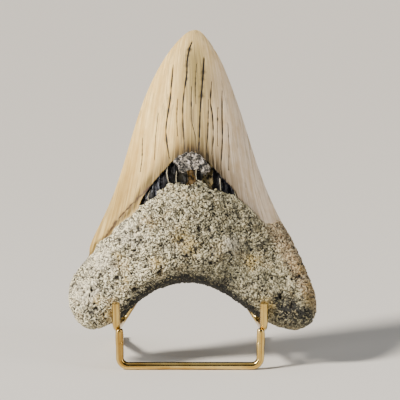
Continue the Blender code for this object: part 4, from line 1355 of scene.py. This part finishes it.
def add_bead(name, sign):
    """A braze bead at one post: upright rings, closed by one point at the top and one at the foot."""
    ways = [(0.0, 0.0, 1.0), (0.0, 0.0, -1.0)]
    for polar in np.linspace(0.0, math.pi, BEAD_RINGS + 1)[1:-1]:
        out = math.sin(polar) ** BEAD_ROUNDNESS
        for turn in np.linspace(0.0, 2.0 * math.pi, BEAD_SIDES, endpoint=False):
            ways.append((out * math.cos(turn), out * math.sin(turn), math.cos(polar)))
    corners = (np.array(BEAD_CENTRE) + np.array(ways) * BEAD_HALF) * (sign, 1.0, 1.0)
    rings = np.arange(2, len(corners)).reshape(-1, BEAD_SIDES)
    faces = []
    for a, b in zip(rings, rings[1:]):
        faces += np.stack([a, b, np.roll(b, -1), np.roll(a, -1)], axis=1).tolist()
    faces += [[0, a, b] for a, b in zip(rings[0].tolist(), np.roll(rings[0], -1).tolist())]
    faces += [[1, b, a] for a, b in zip(rings[-1].tolist(), np.roll(rings[-1], -1).tolist())]
    nearest, _ = nearest_of(post_places, corners)
    drawn = post_drawn[nearest]
    drawn[:, 2] += sign * (corners[:, 2] - post_places[nearest, 2])
    return add_brass(name, corners, [face[::int(sign)] for face in faces], drawn)


beads = [add_bead("braze_right", 1.0), add_bead("braze_left", -1.0)]
print("beads:", [bead.name for bead in beads])

# %% [markdown]
# Brass
#
# Brass is a metal, so its colour lies in its reflection and it keeps the shader's own refractive
# index. Drawing the wire through a die left fine lines along it, which polishing has nearly taken
# out, and handling has dulled it in clouds of a few millimetres.

# %% Polished brass
brass, add, shader = new_material("polished_brass")
drawn = add("Attribute", "Vector", attribute_name="drawn")
# Real drawing lines are far too fine to show, so these are drawn 0.35 mm apart.
streaks = {}
for name, apart, length in (("drawing", 0.35, 30.0), ("tarnish_and_reflection", 1.5, 45.0)):
    scale = (1.0 / apart, 1.0 / apart, 1.0 / length)
    stretched = add("Mapping", "Vector", {"Vector": drawn, "Scale": scale})
    streaks[name] = add("TexNoise", "Fac", {"Vector": stretched, "Scale": 1.0, "Detail": 2.0})
handling = add("TexNoise", "Fac", {"Vector": drawn, "Scale": 1.0 / 6.0, "Detail": 3.0})
paint = add("ValToRGB", "Color", [handling], stops=[(0.35, "d3b164"), (0.65, "e2c67e")])
# The dark streaks along the wire are tarnish, and they also stand in for the dark stripes that a wire
# reflects: painted reflection.
paint = darkened(add, paint, 0.7, streaks["tarnish_and_reflection"], 0.40, "a3834a", 0.56)
polish = add("MapRange", "Result", [handling, 0.0, 1.0, 0.10, 0.26])
die_marks = add("Bump", "Normal", {"Height": streaks["drawing"], "Strength": 0.12, "Distance": 0.1 * MM})
set_inputs(shader, {"Base Color": paint, "Metallic": 1.0, "Roughness": polish, "Normal": die_marks})
brass_pieces = [base, cradle, *beads]
for piece in brass_pieces:
    piece.data.materials.append(brass)
print("brass pieces:", [piece.name for piece in brass_pieces])

# %% [markdown]
# Table, light and camera
#
# The tooth is shown as a dealer would photograph it: on a plain pale table, in soft light from the
# front left, with a narrow upright soft box on either side for the wires to reflect. The room is
# pale along the horizon, where it meets the table, and overhead. In between it's dark, because
# polished brass only looks like metal with something dark to reflect. The camera stands nearly
# 80 cm back and a little above the tooth, which keeps the perspective mild, and a long lens fills
# the picture from there.

# %% Table and light
TABLE_HALF = 12000.0
table_corners = np.array([(-1.0, -1.0, 0.0), (1.0, -1.0, 0.0), (1.0, 1.0, 0.0), (-1.0, 1.0, 0.0)])
table = add_piece("table", table_corners * TABLE_HALF, [(0, 1, 2, 3)])
paper, _, shader = new_material("pale_table")
set_inputs(shader, {"Base Color": colour("dddad4"), "Roughness": 0.9})
table.data.materials.append(paper)

SUN_FROM, SUN_ANGLE, SUN_STRENGTH = Vector((-0.95, -0.62, 0.86)), 12.0, 6.5
# Two upright soft boxes: place, width, height, watts.
BOXES = {
    "left_box": ((-0.80, -0.45, 0.30), 0.16, 0.6, 4.0), "right_box": ((0.80, -0.50, 0.35), 0.22, 0.6, 3.0),
}
AIM = Vector((0.0, 0.02, 0.07))
key_light = bpy.data.lights.new("key", "SUN")
key_light.energy, key_light.angle = SUN_STRENGTH, math.radians(SUN_ANGLE)
key_light.color = colour("fff6ea")[:3]
lamps = [(key_light, AIM + SUN_FROM)]
for name, (place, width, height, watts) in BOXES.items():
    box_light = bpy.data.lights.new(name, "AREA")
    box_light.shape = "RECTANGLE"
    box_light.size, box_light.size_y, box_light.energy = width, height, watts
    lamps.append((box_light, Vector(place)))
for lamp, place in lamps:
    light = bpy.data.objects.new(lamp.name, lamp)
    light.location = place
    light.rotation_euler = (AIM - place).to_track_quat("-Z", "Y").to_euler()
    bpy.context.collection.objects.link(light)

world = bpy.data.worlds.new("studio")
world.use_nodes = True
add = partial(add_node, world.node_tree)
height = add("SeparateXYZ", "Z", [add("TexCoord", "Generated")])
room = add("ValToRGB", "Color", [height], stops=[
    (0.0, "ffffff"), (0.03, "ffffff"), (0.12, "3c3c3e"), (0.7, "3c3c3e"), (0.9, "ffffff"),
])
set_inputs(world.node_tree.nodes["Background"], {"Color": room, "Strength": 0.7})
bpy.context.scene.world = world
sun_height = math.degrees(math.atan2(SUN_FROM.z, SUN_FROM.xy.length))
print("the key light stands", round(sun_height), "degrees high")

# %% Camera
CAMERA_PLACE = (4.059, -785.75, 166.57)
CAMERA_TILT, LENS, SENSOR = 83.0, 175.6, 36.0
camera_data = bpy.data.cameras.new("camera")
camera_data.lens, camera_data.sensor_width = LENS, SENSOR
camera_data.clip_start, camera_data.clip_end = 0.05, 60.0
camera = bpy.data.objects.new("camera", camera_data)
camera.location = Vector(CAMERA_PLACE) * MM
camera.rotation_euler = (math.radians(CAMERA_TILT), 0.0, 0.0)
bpy.context.collection.objects.link(camera)
bpy.context.scene.camera = camera
print("the camera stands", round(math.dist(CAMERA_PLACE, (0.0, 0.0, 60.0))), "mm from the tooth")
